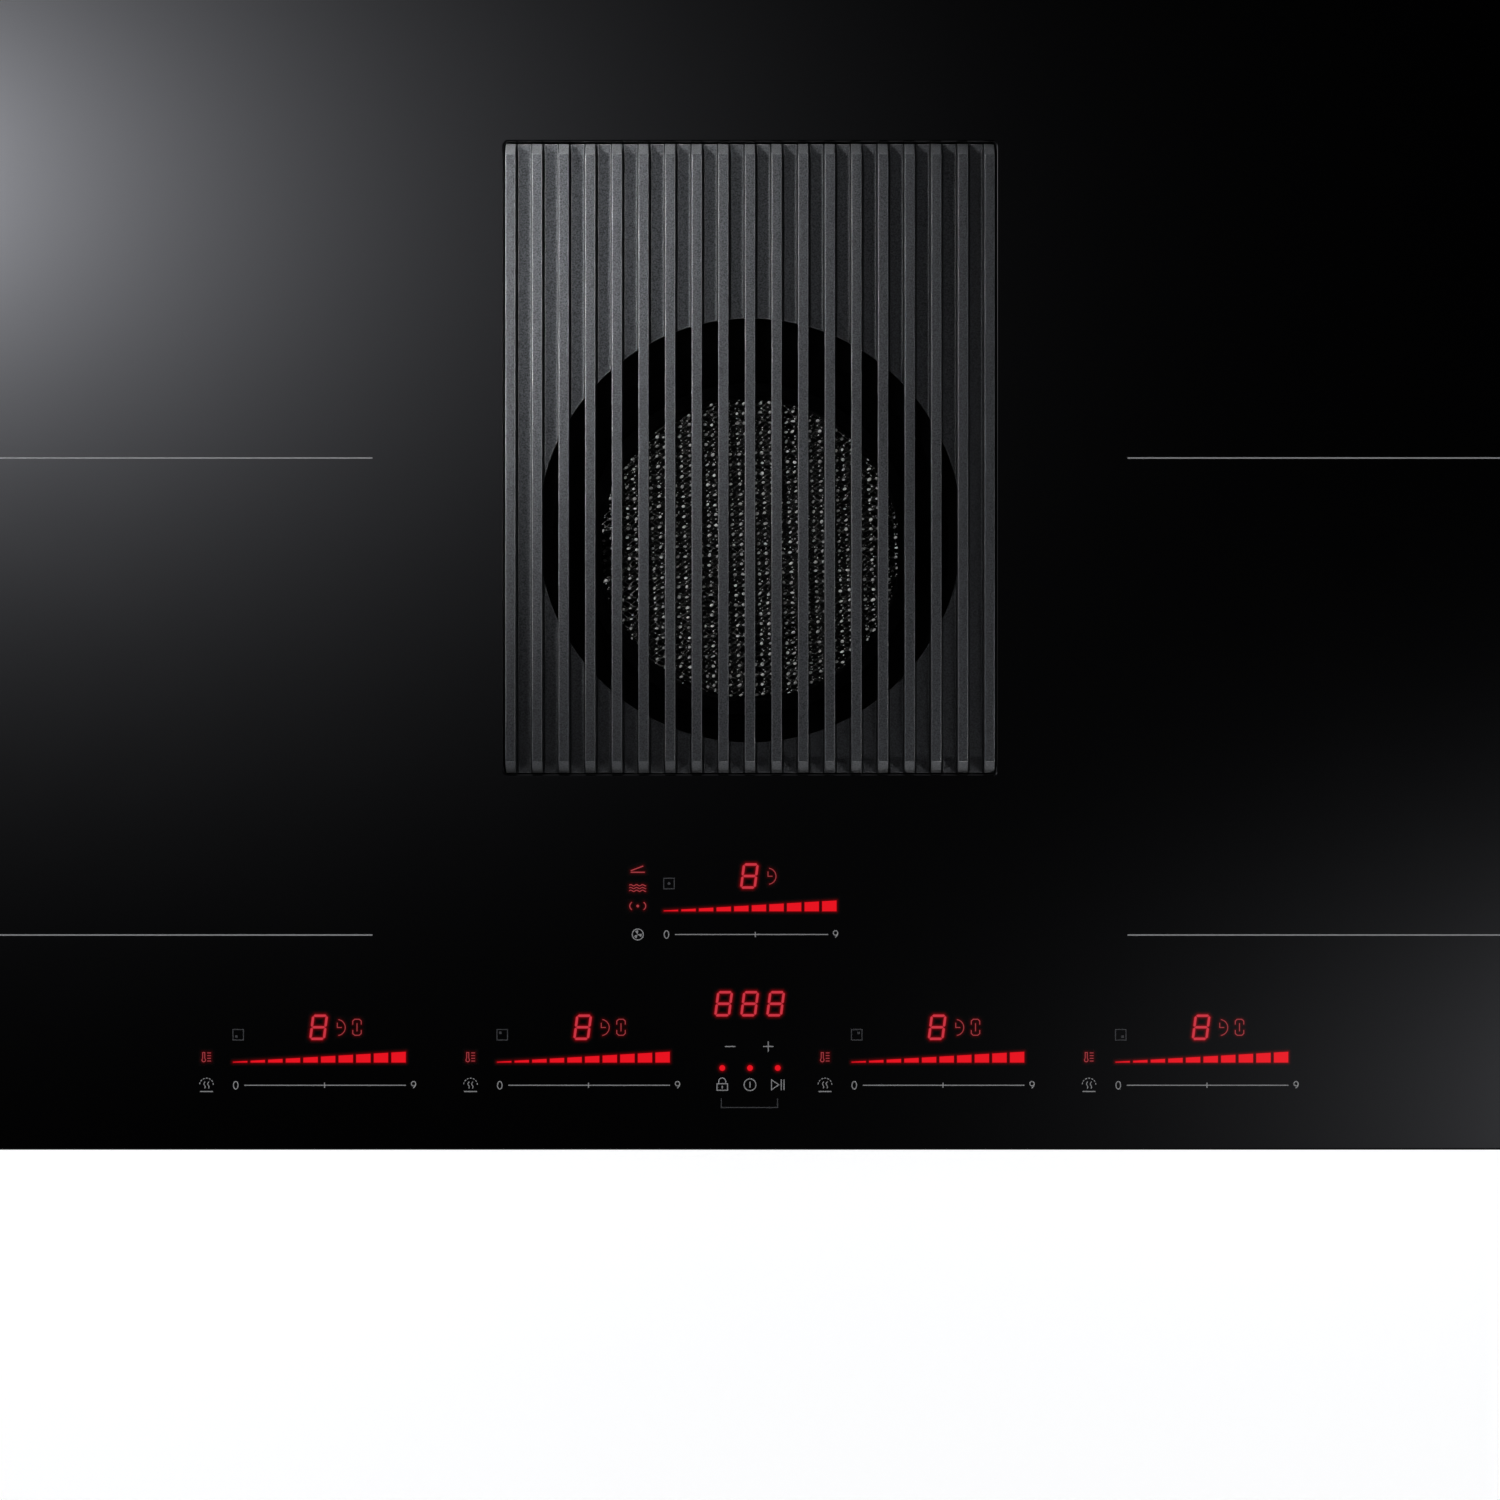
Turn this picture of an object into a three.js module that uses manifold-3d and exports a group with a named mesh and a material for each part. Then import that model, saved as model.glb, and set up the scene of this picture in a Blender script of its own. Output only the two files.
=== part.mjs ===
// A built-in induction cooktop with a downdraft extractor in its middle.
// Millimetres, +Z up. X runs left to right, and the cook stands on the -Y side.
// The origin is the centre of the flat base of the extractor housing, below the glass.
import * as THREE from "three";
import { mergeVertices } from "three/addons/utils/BufferGeometryUtils.js";
import Module from "manifold-3d";

const wasm = await Module();
wasm.setup();

// ---------------------------------------------------------------- driving dimensions

const GAP = 0.3; // left between pieces that touch

const GLASS_WIDTH = 830;
const GLASS_DEPTH = 515;
const GLASS_THICKNESS = 4;
const GLASS_CORNER = 8;
const GLASS_TOP = 210; // above the base
const GLASS_UNDERSIDE = GLASS_TOP - GLASS_THICKNESS;
const GLASS_ARRIS = 0.8; // ground chamfer round the glass
const WINDOW_CORNER = 1;
const GASKET_INSET = 4; // foam tape, from the edge of the glass
const GASKET_TAPE = 6;
const GASKET_HEIGHT = 2.5;

const ZONE_WIDTH = 210; // one cooking zone
const ZONE_DEPTH = 190.8;
const ZONE_INNER_X = 151; // from the middle of the glass to the zone's inner edge
const ZONES_CENTRE_Y = 19.3; // the two rows of zones meet here
const ZONE_CENTRE_X = ZONE_INNER_X + ZONE_WIDTH / 2;

const GRILLE_WIDTH = 195.6;
const GRILLE_DEPTH = 252;
const GRILLE_CENTRE_Y = ZONES_CENTRE_Y;
const GRILLE_PLATE = 3; // thickness of the cast base plate
const GRILLE_PLATE_TOP = GLASS_TOP - 5;
const GRILLE_HOLE_RADIUS = 85;
const GRILLE_HOLE_Y = -9.4;
const GRILLE_SIDE_CLEARANCE = 0.5; // to the edge of the glass
const SLAT_COUNT = 19;
const SLAT_WIDTH = 4.1;
const SLAT_FOOT = 0.75; // the slat is this much wider at its foot, each side
const SLAT_FOOT_RISE = 1.5;
const SLAT_TOP = GLASS_TOP + 3;
const SLAT_END_RUN = 4.6; // the sloping end of a slat
const SLAT_END_DROP = 6;
const PAD_X = 91.5; // rubber pads under the grille's plate
const PAD_WIDTH = 8;
const PAD_LENGTH = 230;
const PAD_HEIGHT = 2.4;
const LEDGE_Z = GRILLE_PLATE_TOP - GRILLE_PLATE - PAD_HEIGHT - 2 * GAP;

const TUB_WALL = 2;
const TUB_FLANGE_WIDTH = 226; // glued under the glass
const TUB_FLANGE_DEPTH = 282;
const TUB_FLANGE_TOP = GLASS_UNDERSIDE - 2.6;
const POCKET_PLAY = 3; // the pocket is this much wider and deeper than the grille
const BASIN_WIDTH = 171;
const BASIN_DEPTH = 246;
const BASIN_FLOOR = 188;

const THROAT_Y = -15.5; // axis of the round throat
const THROAT_RADIUS = 60;
const THROAT_BOTTOM = 134;
const THROAT_OPENING = THROAT_RADIUS + TUB_WALL + 1; // in the lid of the air box
const FUNNEL_RADIUS = 80; // widest, at the basin's floor
const FUNNEL_BOTTOM = 165.5;
const FILTER_SEAT_RADIUS = 68.5;
const FILTER_SEAT_Z = 151.5;
const SEAL_INNER = 61;
const SEAL_OUTER = 66;
const SEAL_HEIGHT = 1.6;
const BASKET_INNER = 62.3;
const BASKET_OUTER = 67.8;
const BASKET_BOTTOM = SEAL_HEIGHT + 2 * GAP;
const BASKET_TOP = 12;
const SPOKE_WIDTH = 3;
const SPOKE_HEIGHT = 2;
const TAB_WIDTH = 18; // finger tabs of the grease filter
const TAB_RISE = 11;
const MESH_RADIUS = 61.8;
const MESH_THICKNESS = 6;
const MESH_PITCH = 14;
const MESH_HOLE = 10.4;

const TRAY_WIDTH = 798; // steel tray under the glass
const TRAY_DEPTH = 486;
const TRAY_SHEET = 1.2;
const TRAY_BOTTOM = 148;
const TRAY_FLOOR = TRAY_BOTTOM + TRAY_SHEET;
const TRAY_CORNER = 6;
const TRAY_WINDOW = 150; // square, round the throat
const TRAY_WINDOW_CORNER = 10;
const VENT_SLOT = 4;
const VENT_PITCH = 10;
const CLAMP_HOLE_Z = 185;
const CLAMP_HOLE_RADIUS = 2.3;
const CLAMP_SHEET = 1.2;
const CLAMP_WIDTH = 70;
const CLAMP_LEAF = [14, 32]; // each leaf's sides, from the middle of the clamp

const TERMINAL_X = -275; // mains connection
const TERMINAL_Y = 200;
const TERMINAL_BOX_HEIGHT = 26;
const TERMINAL_BOX_WIDTH = 110;
const TERMINAL_BOX_DEPTH = 64;
const TERMINAL_WALL = 2.5;
const TERMINAL_WINDOW_WIDTH = 60; // through the tray to the wires above
const TERMINAL_WINDOW_DEPTH = 30;
const TERMINAL_WAYS = 6;
const TERMINAL_PITCH = 11.5;
const COVER_THICKNESS = 2.2;
const CATCH_WIDTH = 18;

const HOUSING_WIDTH = 410; // extractor housing
const HOUSING_FRONT = -150;
const HOUSING_BACK = 232;
const HOUSING_WALL = 2.5;
const HOUSING_CORNER = 22;
const PARTITION_Y = 52; // wall between the air chamber and the blower
const PARTITION_HALF = 152;
const LID_TOP = TRAY_BOTTOM - GAP;
const LID_THICKNESS = 2;
const HOUSING_TOP = LID_TOP - LID_THICKNESS - GAP;

const DRIP_WIDTH = 156;
const DRIP_HEIGHT = 27.2;
const DRIP_BACK = 48;
const CASSETTE_X = 130; // centre of each odour cassette
const CASSETTE_THICKNESS = 36;
const CASSETTE_HEIGHT = 96;
const CASSETTE_BOTTOM = 12;
const CASSETTE_BACK = 40;
const CASSETTE_WINDOWS = 6;
const CASSETTE_WINDOW_PITCH = 30;
const CASSETTE_RECESS = 3;
const PULL_REACH = 12; // of each drawer's pull, in front of the housing

const BLOWER_Y = 135;
const BLOWER_Z = 71.8;
const BLOWER_WIDTH = 200;
const SCROLL_WALL = 2;
const INLET_RADIUS = 44; // of the blower, at each side
const IMPELLER_RADIUS = 52;
const IMPELLER_WIDTH = 188;
const BLADE_COUNT = 24;
const SHAFT_RADIUS = 4;
const MOTOR_RADIUS = 33;
const OUTLET_TOP = 92;
const OUTLET_BOTTOM = 4.8;
const SPIGOT_WIDTH = 222;
const SPIGOT_HEIGHT = 89;
const SPIGOT_CENTRE_Z = 49;
const SPIGOT_BACK = 252;

const FAN_SIZE = 80;
const FAN_THICKNESS = 25;
const FAN_Y = -105; // of each cooling fan, from the middle of its side module

// ---------------------------------------------------------------- solids

function solid(geometry) {
  const bare = geometry.index ? geometry.toNonIndexed() : geometry.clone();
  bare.deleteAttribute("normal");
  bare.deleteAttribute("uv");
  const merged = mergeVertices(bare, 1e-4);
  return new wasm.Manifold(
    new wasm.Mesh({
      numProp: 3,
      vertProperties: new Float32Array(merged.attributes.position.array),
      triVerts: new Uint32Array(merged.index.array),
    }),
  );
}

function geometryOf(made) {
  const mesh = made.getMesh();
  const corners = new Float32Array(mesh.numVert * 3);
  for (let i = 0; i < mesh.numVert; i++) {
    const start = i * mesh.numProp;
    corners.set(mesh.vertProperties.subarray(start, start + 3), i * 3);
  }
  const indexed = new THREE.BufferGeometry();
  indexed.setAttribute("position", new THREE.BufferAttribute(corners, 3));
  indexed.setIndex(new THREE.BufferAttribute(new Uint32Array(mesh.triVerts), 1));
  const flat = indexed.toNonIndexed();
  flat.computeVertexNormals();
  return flat;
}

const join = (...parts) => parts.reduce((whole, part) => whole.add(part));
const cut = (whole, ...parts) => parts.reduce((left, part) => left.subtract(part), whole);
const range = (count) => Array.from({ length: count }, (_, index) => index);

// A box given by its lowest and highest values along each axis.
function block(x0, x1, y0, y1, z0, z1) {
  const geometry = new THREE.BoxGeometry(x1 - x0, y1 - y0, z1 - z0);
  geometry.translate((x0 + x1) / 2, (y0 + y1) / 2, (z0 + z1) / 2);
  return solid(geometry);
}

// An outline of points raised between two heights.
function prism(points, bottom, top, arris = 0) {
  const geometry = new THREE.ExtrudeGeometry(new THREE.Shape(points), {
    depth: top - bottom - 2 * arris,
    bevelEnabled: arris > 0,
    bevelThickness: arris,
    bevelSize: arris,
    bevelOffset: -arris,
    bevelSegments: 1,
  });
  geometry.translate(0, 0, bottom + arris);
  return solid(geometry);
}

// The same outline drawn in the YZ plane and run along X from one side to the other.
function prismAlongX(points, left, right) {
  const geometry = new THREE.ExtrudeGeometry(new THREE.Shape(points), {
    depth: right - left,
    bevelEnabled: false,
  });
  geometry.rotateX(Math.PI / 2);
  geometry.rotateZ(Math.PI / 2);
  geometry.translate(left, 0, 0);
  return solid(geometry);
}

// The same outline drawn in the XZ plane and run along Y from front to back.
function prismAlongY(points, front, back) {
  const geometry = new THREE.ExtrudeGeometry(new THREE.Shape(points), {
    depth: back - front,
    bevelEnabled: false,
  });
  geometry.rotateX(Math.PI / 2);
  geometry.translate(0, back, 0);
  return solid(geometry);
}

function drum(radius, bottom, top, steps = 32) {
  return prism(circle(radius, steps), bottom, top);
}

function drumAlongX(radius, left, right, steps = 32) {
  return prismAlongX(circle(radius, steps), left, right);
}

// A profile of [radius, height] pairs turned round the Z axis.
function turned(profile, steps = 48) {
  const points = profile.map(([radius, height]) => new THREE.Vector2(radius, height));
  const geometry = new THREE.LatheGeometry([...points, points[0].clone()], steps);
  geometry.rotateX(Math.PI / 2);
  return solid(geometry);
}

// ---------------------------------------------------------------- outlines

function circle(radius, steps = 32) {
  return range(steps).map((step) => {
    const angle = (2 * Math.PI * step) / steps;
    return new THREE.Vector2(radius * Math.cos(angle), radius * Math.sin(angle));
  });
}

function roundedRectangle(width, depth, radius, steps = 4) {
  const corners = [
    [1, 1],
    [-1, 1],
    [-1, -1],
    [1, -1],
  ];
  return corners.flatMap(([sx, sy], corner) =>
    range(steps + 1).map((step) => {
      const angle = (Math.PI / 2) * (corner + step / steps);
      return new THREE.Vector2(
        sx * (width / 2 - radius) + radius * Math.cos(angle),
        sy * (depth / 2 - radius) + radius * Math.sin(angle),
      );
    }),
  );
}

const outline = (pairs) => pairs.map(([x, y]) => new THREE.Vector2(x, y));

// A flat frame: one rounded rectangle inside another.
function frameRing(width, depth, radius, innerWidth, innerDepth, innerRadius, bottom, top) {
  return cut(
    prism(roundedRectangle(width, depth, radius), bottom, top),
    prism(roundedRectangle(innerWidth, innerDepth, innerRadius), bottom - 1, top + 1),
  );
}

// ---------------------------------------------------------------- materials

const finish = (color, roughness, metalness) =>
  new THREE.MeshStandardMaterial({ color, roughness, metalness });

const blackGlass = finish(0x050506, 0.06, 0);
const castGrey = finish(0x3a3b3e, 0.55, 0.4);
const blackPlastic = finish(0x111112, 0.5, 0);
const greyPlastic = finish(0x4a4c4f, 0.55, 0);
const zincSteel = finish(0x9a9c9e, 0.38, 0.9);
const aluminium = finish(0xb4b6b8, 0.35, 0.9);
const rubber = finish(0x0c0c0c, 0.85, 0);
const charcoal = finish(0x1d1d1e, 0.9, 0);
const copper = finish(0xa0522d, 0.4, 0.9);
const mica = finish(0xcfc8b4, 0.7, 0);
const circuitGreen = finish(0x1c4a2e, 0.5, 0);
const gasketFoam = finish(0x222222, 0.95, 0);
const steelBright = finish(0xc8c8c8, 0.25, 1);

function piece(parent, name, made, material, x = 0, y = 0, z = 0) {
  const mesh = new THREE.Mesh(geometryOf(made), material);
  mesh.name = name;
  mesh.position.set(x, y, z);
  parent.add(mesh);
  return mesh;
}

function group(parent, x = 0, y = 0, z = 0) {
  const made = new THREE.Group();
  made.position.set(x, y, z);
  parent.add(made);
  return made;
}

const cooktop = new THREE.Group();

// ---------------------------------------------------------------- glass and its seal

function glassTop() {
  const sheet = prism(
    roundedRectangle(GLASS_WIDTH, GLASS_DEPTH, GLASS_CORNER, 5),
    GLASS_UNDERSIDE,
    GLASS_TOP,
    GLASS_ARRIS,
  );
  const window = prism(
    roundedRectangle(
      GRILLE_WIDTH + 2 * GRILLE_SIDE_CLEARANCE,
      GRILLE_DEPTH + 2 * GRILLE_SIDE_CLEARANCE,
      WINDOW_CORNER,
      2,
    ),
    -1,
    GLASS_THICKNESS + 1,
  );
  return cut(sheet, window.translate([0, GRILLE_CENTRE_Y, GLASS_UNDERSIDE]));
}

function glassGasket() {
  const width = GLASS_WIDTH - 2 * GASKET_INSET;
  const depth = GLASS_DEPTH - 2 * GASKET_INSET;
  const tape = 2 * GASKET_TAPE;
  return frameRing(width, depth, 6, width - tape, depth - tape, 3, -GASKET_HEIGHT, 0);
}

piece(cooktop, "glass_top", glassTop(), blackGlass);
piece(cooktop, "glass_gasket", glassGasket(), gasketFoam, 0, 0, GLASS_UNDERSIDE - GAP);

// ---------------------------------------------------------------- lift-out grille
// One casting: a plate with a round hole, and slats that run front to back across it.

const grilleGroup = group(cooktop, 0, GRILLE_CENTRE_Y, GRILLE_PLATE_TOP);

function slat(index) {
  const rise = SLAT_TOP - GRILLE_PLATE_TOP;
  const half = SLAT_WIDTH / 2;
  const pitch = (GRILLE_WIDTH - SLAT_WIDTH) / (SLAT_COUNT - 1);
  const centre = (index - (SLAT_COUNT - 1) / 2) * pitch;
  const leftFoot = index === 0 ? 0 : SLAT_FOOT;
  const rightFoot = index === SLAT_COUNT - 1 ? 0 : SLAT_FOOT;
  const section = outline([
    [centre - half - leftFoot, -1],
    [centre + half + rightFoot, -1],
    [centre + half + rightFoot, 0],
    [centre + half, SLAT_FOOT_RISE],
    [centre + half, rise],
    [centre - half, rise],
    [centre - half, SLAT_FOOT_RISE],
    [centre - half - leftFoot, 0],
  ]);
  return prismAlongY(section, -GRILLE_DEPTH / 2, GRILLE_DEPTH / 2);
}

// The wedge cut off the slats at one end, front for -1 and back for 1.
function slatEndCut(end) {
  const rise = SLAT_TOP - GRILLE_PLATE_TOP;
  const edge = (end * GRILLE_DEPTH) / 2;
  const corners = [
    [edge - end * SLAT_END_RUN, rise],
    [edge, rise - SLAT_END_DROP],
    [edge + end, rise - SLAT_END_DROP],
    [edge + end, rise + 1],
    [edge - end * SLAT_END_RUN, rise + 1],
  ];
  const ordered = end < 0 ? corners : corners.reverse();
  return prismAlongX(outline(ordered.reverse()), -GRILLE_WIDTH, GRILLE_WIDTH);
}

function grille() {
  const plate = prism(
    roundedRectangle(GRILLE_WIDTH, GRILLE_DEPTH, 0.8, 1),
    -GRILLE_PLATE,
    0,
  );
  const hole = drum(GRILLE_HOLE_RADIUS, -GRILLE_PLATE - 1, 1, 64);
  const holed = cut(plate, hole.translate([0, GRILLE_HOLE_Y - GRILLE_CENTRE_Y, 0]));
  const slats = join(...range(SLAT_COUNT).map(slat));
  return cut(join(holed, slats), slatEndCut(-1), slatEndCut(1));
}

piece(grilleGroup, "grille", grille(), castGrey);

for (const [side, name] of [
  [-1, "left"],
  [1, "right"],
]) {
  const pad = prism(roundedRectangle(PAD_WIDTH, PAD_LENGTH, 3, 3), -PAD_HEIGHT, 0);
  const x = side * PAD_X;
  piece(grilleGroup, "grille_pad_" + name, pad, rubber, x, 0, -GRILLE_PLATE - GAP);
}

// ---------------------------------------------------------------- inlet tub
// Moulded tub under the window in the glass: a flange under the glass, a ledge for the
// grille, and the walls of a shallow basin. Its floor is the rim of the inlet funnel.

const tubGroup = group(cooktop, 0, GRILLE_CENTRE_Y, 0);
const THROAT_OFFSET = THROAT_Y - GRILLE_CENTRE_Y;
const TUB_WALLS = 2 * TUB_WALL;
const basinOutside = roundedRectangle(BASIN_WIDTH + TUB_WALLS, BASIN_DEPTH + TUB_WALLS, 12);

function inletTub() {
  const pocketWidth = GRILLE_WIDTH + POCKET_PLAY;
  const pocketDepth = GRILLE_DEPTH + POCKET_PLAY;
  const flangeBottom = TUB_FLANGE_TOP - TUB_WALL;
  const wallBottom = BASIN_FLOOR + GAP;
  const pocketOutside = roundedRectangle(pocketWidth + TUB_WALLS, pocketDepth + TUB_WALLS, 4);
  const outside = join(
    prism(roundedRectangle(TUB_FLANGE_WIDTH, TUB_FLANGE_DEPTH, 6), flangeBottom, TUB_FLANGE_TOP),
    prism(pocketOutside, LEDGE_Z - TUB_WALL, TUB_FLANGE_TOP),
    prism(basinOutside, wallBottom, LEDGE_Z),
  );
  const inside = join(
    prism(roundedRectangle(pocketWidth, pocketDepth, 2), LEDGE_Z, TUB_FLANGE_TOP + 1),
    prism(roundedRectangle(BASIN_WIDTH, BASIN_DEPTH, 10), wallBottom - 1, LEDGE_Z + 1),
  );
  return cut(outside, inside);
}

// The basin's floor in one moulding with the funnel and the round throat under it, and
// with a step that seats the filter. It is welded under the basin's walls.
function inletFunnel() {
  const outside = turned([
    [0, THROAT_BOTTOM],
    [THROAT_RADIUS + TUB_WALL, THROAT_BOTTOM],
    [THROAT_RADIUS + TUB_WALL, FILTER_SEAT_Z - TUB_WALL],
    [FILTER_SEAT_RADIUS + TUB_WALL, FILTER_SEAT_Z - TUB_WALL],
    [FILTER_SEAT_RADIUS + TUB_WALL, FUNNEL_BOTTOM - TUB_WALL],
    [FUNNEL_RADIUS + TUB_WALL, BASIN_FLOOR - TUB_WALL / 2],
    [0, BASIN_FLOOR - TUB_WALL / 2],
  ]);
  const inside = turned([
    [0, THROAT_BOTTOM - 1],
    [THROAT_RADIUS, THROAT_BOTTOM - 1],
    [THROAT_RADIUS, FILTER_SEAT_Z],
    [FILTER_SEAT_RADIUS, FILTER_SEAT_Z],
    [FILTER_SEAT_RADIUS, FUNNEL_BOTTOM],
    [FUNNEL_RADIUS, BASIN_FLOOR - TUB_WALL],
    [FUNNEL_RADIUS, BASIN_FLOOR + 1],
    [0, BASIN_FLOOR + 1],
  ]);
  const floor = prism(basinOutside, BASIN_FLOOR - TUB_WALL, BASIN_FLOOR);
  const rounds = [outside, inside].map((round) => round.translate([0, THROAT_OFFSET, 0]));
  return cut(join(floor, rounds[0]), rounds[1]);
}

function tubGasket() {
  const width = TUB_FLANGE_WIDTH - 2;
  const depth = TUB_FLANGE_DEPTH - 2;
  const tape = 21;
  return frameRing(width, depth, 5, width - tape, depth - tape, 3, -2, 0);
}

piece(tubGroup, "inlet_tub", inletTub(), blackPlastic);
piece(tubGroup, "inlet_funnel", inletFunnel(), blackPlastic);
piece(tubGroup, "tub_gasket", tubGasket(), gasketFoam, 0, 0, GLASS_UNDERSIDE - GAP);

// ---------------------------------------------------------------- grease filter

const filterGroup = group(cooktop, 0, THROAT_Y, FILTER_SEAT_Z);

// Round basket with four spokes under the mesh and two finger tabs above the rim.
function filterFrame() {
  const rim = turned([
    [BASKET_INNER, BASKET_BOTTOM],
    [BASKET_OUTER, BASKET_BOTTOM],
    [BASKET_OUTER, BASKET_TOP],
    [BASKET_INNER, BASKET_TOP],
  ]);
  const spokeTop = BASKET_BOTTOM + SPOKE_HEIGHT;
  const reach = BASKET_INNER + 1.7;
  const half = SPOKE_WIDTH / 2;
  const spokes = join(
    block(-reach, reach, -half, half, BASKET_BOTTOM, spokeTop),
    block(-half, half, -reach, reach, BASKET_BOTTOM, spokeTop),
  );
  const tabHalf = TAB_WIDTH / 2;
  const tabTop = BASKET_TOP + TAB_RISE;
  const tabs = [-1, 1].map((side) =>
    join(
      block(64 * side - 1, 64 * side + 1, -tabHalf, tabHalf, BASKET_TOP - 4, tabTop),
      block(62 * side - 2, 62 * side + 2, -tabHalf, tabHalf, tabTop - 2, tabTop),
    ),
  );
  return join(rim, spokes, ...tabs);
}

// Expanded mesh: a disc pierced by rows of diamond openings, staggered row by row.
function filterMesh() {
  const rows = Math.floor(MESH_RADIUS / (MESH_PITCH / 2));
  const holes = [];
  for (let row = -rows; row <= rows; row++) {
    const stagger = row % 2 === 0 ? 0 : MESH_PITCH / 2;
    for (let column = -8; column <= 8; column++) {
      const x = column * MESH_PITCH + stagger;
      const y = (row * MESH_PITCH) / 2;
      if (Math.hypot(x, y) < MESH_RADIUS - MESH_PITCH / 2 - 0.5) {
        const half = MESH_HOLE / 2;
        const diamond = [
          [x + half, y],
          [x, y + half],
          [x - half, y],
          [x, y - half],
        ];
        holes.push(prism(outline(diamond), -1, MESH_THICKNESS + 1));
      }
    }
  }
  return cut(drum(MESH_RADIUS, 0, MESH_THICKNESS, 48), wasm.Manifold.union(holes));
}

const filterSeal = turned([
  [SEAL_INNER, 0],
  [SEAL_OUTER, 0],
  [SEAL_OUTER, SEAL_HEIGHT],
  [SEAL_INNER, SEAL_HEIGHT],
]);
piece(filterGroup, "filter_seal", filterSeal, rubber, 0, 0, GAP);
piece(filterGroup, "filter_frame", filterFrame(), blackPlastic);
const meshZ = BASKET_BOTTOM + SPOKE_HEIGHT + GAP;
piece(filterGroup, "filter_mesh", filterMesh(), aluminium, 0, 0, meshZ);

// ---------------------------------------------------------------- steel tray
// Folded tray that carries the glass, the coils and the electronics.

// Vent slots one behind the other in the floor of the tray.
function ventRow(x, y, width, count) {
  const half = VENT_SLOT / 2;
  return range(count).map((index) => {
    const slotY = y + (index - (count - 1) / 2) * VENT_PITCH;
    return block(x - width / 2, x + width / 2, slotY - half, slotY + half, -2, TRAY_SHEET + 2);
  });
}

// Two vent slots one above the other in the front wall of the tray.
function frontVents(x) {
  const front = -TRAY_DEPTH / 2;
  return [14, 24].map((z) => block(x - 22, x + 22, front - 2, front + 3, z, z + VENT_SLOT));
}

function baseTray() {
  const height = GLASS_UNDERSIDE - GAP - TRAY_BOTTOM;
  const shell = cut(
    prism(roundedRectangle(TRAY_WIDTH, TRAY_DEPTH, TRAY_CORNER), 0, height),
    prism(
      roundedRectangle(
        TRAY_WIDTH - 2 * TRAY_SHEET,
        TRAY_DEPTH - 2 * TRAY_SHEET,
        TRAY_CORNER - TRAY_SHEET,
      ),
      TRAY_SHEET,
      height + 1,
    ),
  );
  const window = roundedRectangle(TRAY_WINDOW, TRAY_WINDOW, TRAY_WINDOW_CORNER);
  const wireWindow = roundedRectangle(TERMINAL_WINDOW_WIDTH, TERMINAL_WINDOW_DEPTH, 1, 1);
  const openings = [
    prism(window, -1, TRAY_SHEET + 1).translate([0, THROAT_Y, 0]),
    prism(wireWindow, -1, TRAY_SHEET + 1).translate([TERMINAL_X, TERMINAL_Y, 0]),
  ];
  for (const side of [-1, 1]) {
    const x = side * ZONE_CENTRE_X;
    openings.push(...ventRow(x, ZONES_CENTRE_Y + FAN_Y, 70, 7));
    openings.push(...ventRow(x, ZONES_CENTRE_Y + 90, 120, 5));
    openings.push(...[210, 270, 330].flatMap((ventX) => frontVents(side * ventX)));
    const wall = (side * TRAY_WIDTH) / 2;
    const screwHole = drumAlongX(CLAMP_HOLE_RADIUS, -4, 4, 12);
    openings.push(screwHole.translate([wall, 0, CLAMP_HOLE_Z - TRAY_BOTTOM]));
  }
  return cut(shell, ...openings);
}

piece(cooktop, "base_tray", baseTray(), zincSteel, 0, 0, TRAY_BOTTOM);

// Sprung bracket at each side that centres and holds the tray in the worktop's cut-out.
function clampSpring(side) {
  const sheet = CLAMP_SHEET;
  const low = Math.min(0, side * sheet);
  const high = Math.max(0, side * sheet);
  const plate = block(low, high, -CLAMP_WIDTH / 2, CLAMP_WIDTH / 2, -22, 15);
  const leafProfile = [
    [0, -22],
    [sheet, -22],
    [5.2, -8],
    [5.2, 2],
    [sheet, 12],
    [0, 12],
    [0, 10.4],
    [4, 1],
    [4, -7.4],
    [0, -20],
  ].map(([x, z]) => [side * x, z]);
  const leaf = outline(side > 0 ? leafProfile : leafProfile.reverse());
  const [near, far] = CLAMP_LEAF;
  const leaves = join(prismAlongY(leaf, -far, -near), prismAlongY(leaf, near, far));
  return cut(join(plate, leaves), drumAlongX(CLAMP_HOLE_RADIUS, -3, 3, 12));
}

function clampScrew(side) {
  const headRadius = 4.2;
  const shankRadius = 1.9;
  const head = drumAlongX(headRadius, 0, 2.4, 16);
  const shank = drumAlongX(shankRadius, -9, 0.1, 12);
  const screw = join(head, shank);
  return side > 0 ? screw : screw.mirror([1, 0, 0]);
}

for (const [side, name] of [
  [-1, "left"],
  [1, "right"],
]) {
  const x = side * (TRAY_WIDTH / 2 + GAP);
  piece(cooktop, "clamp_spring_" + name, clampSpring(side), steelBright, x, 0, CLAMP_HOLE_Z);
  const screwX = x + side * (CLAMP_SHEET + GAP);
  piece(cooktop, "clamp_screw_" + name, clampScrew(side), zincSteel, screwX, 0, CLAMP_HOLE_Z);
}

// ---------------------------------------------------------------- mains connection

const terminalGroup = group(cooktop, TERMINAL_X, TERMINAL_Y, TRAY_BOTTOM - GAP);

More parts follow.
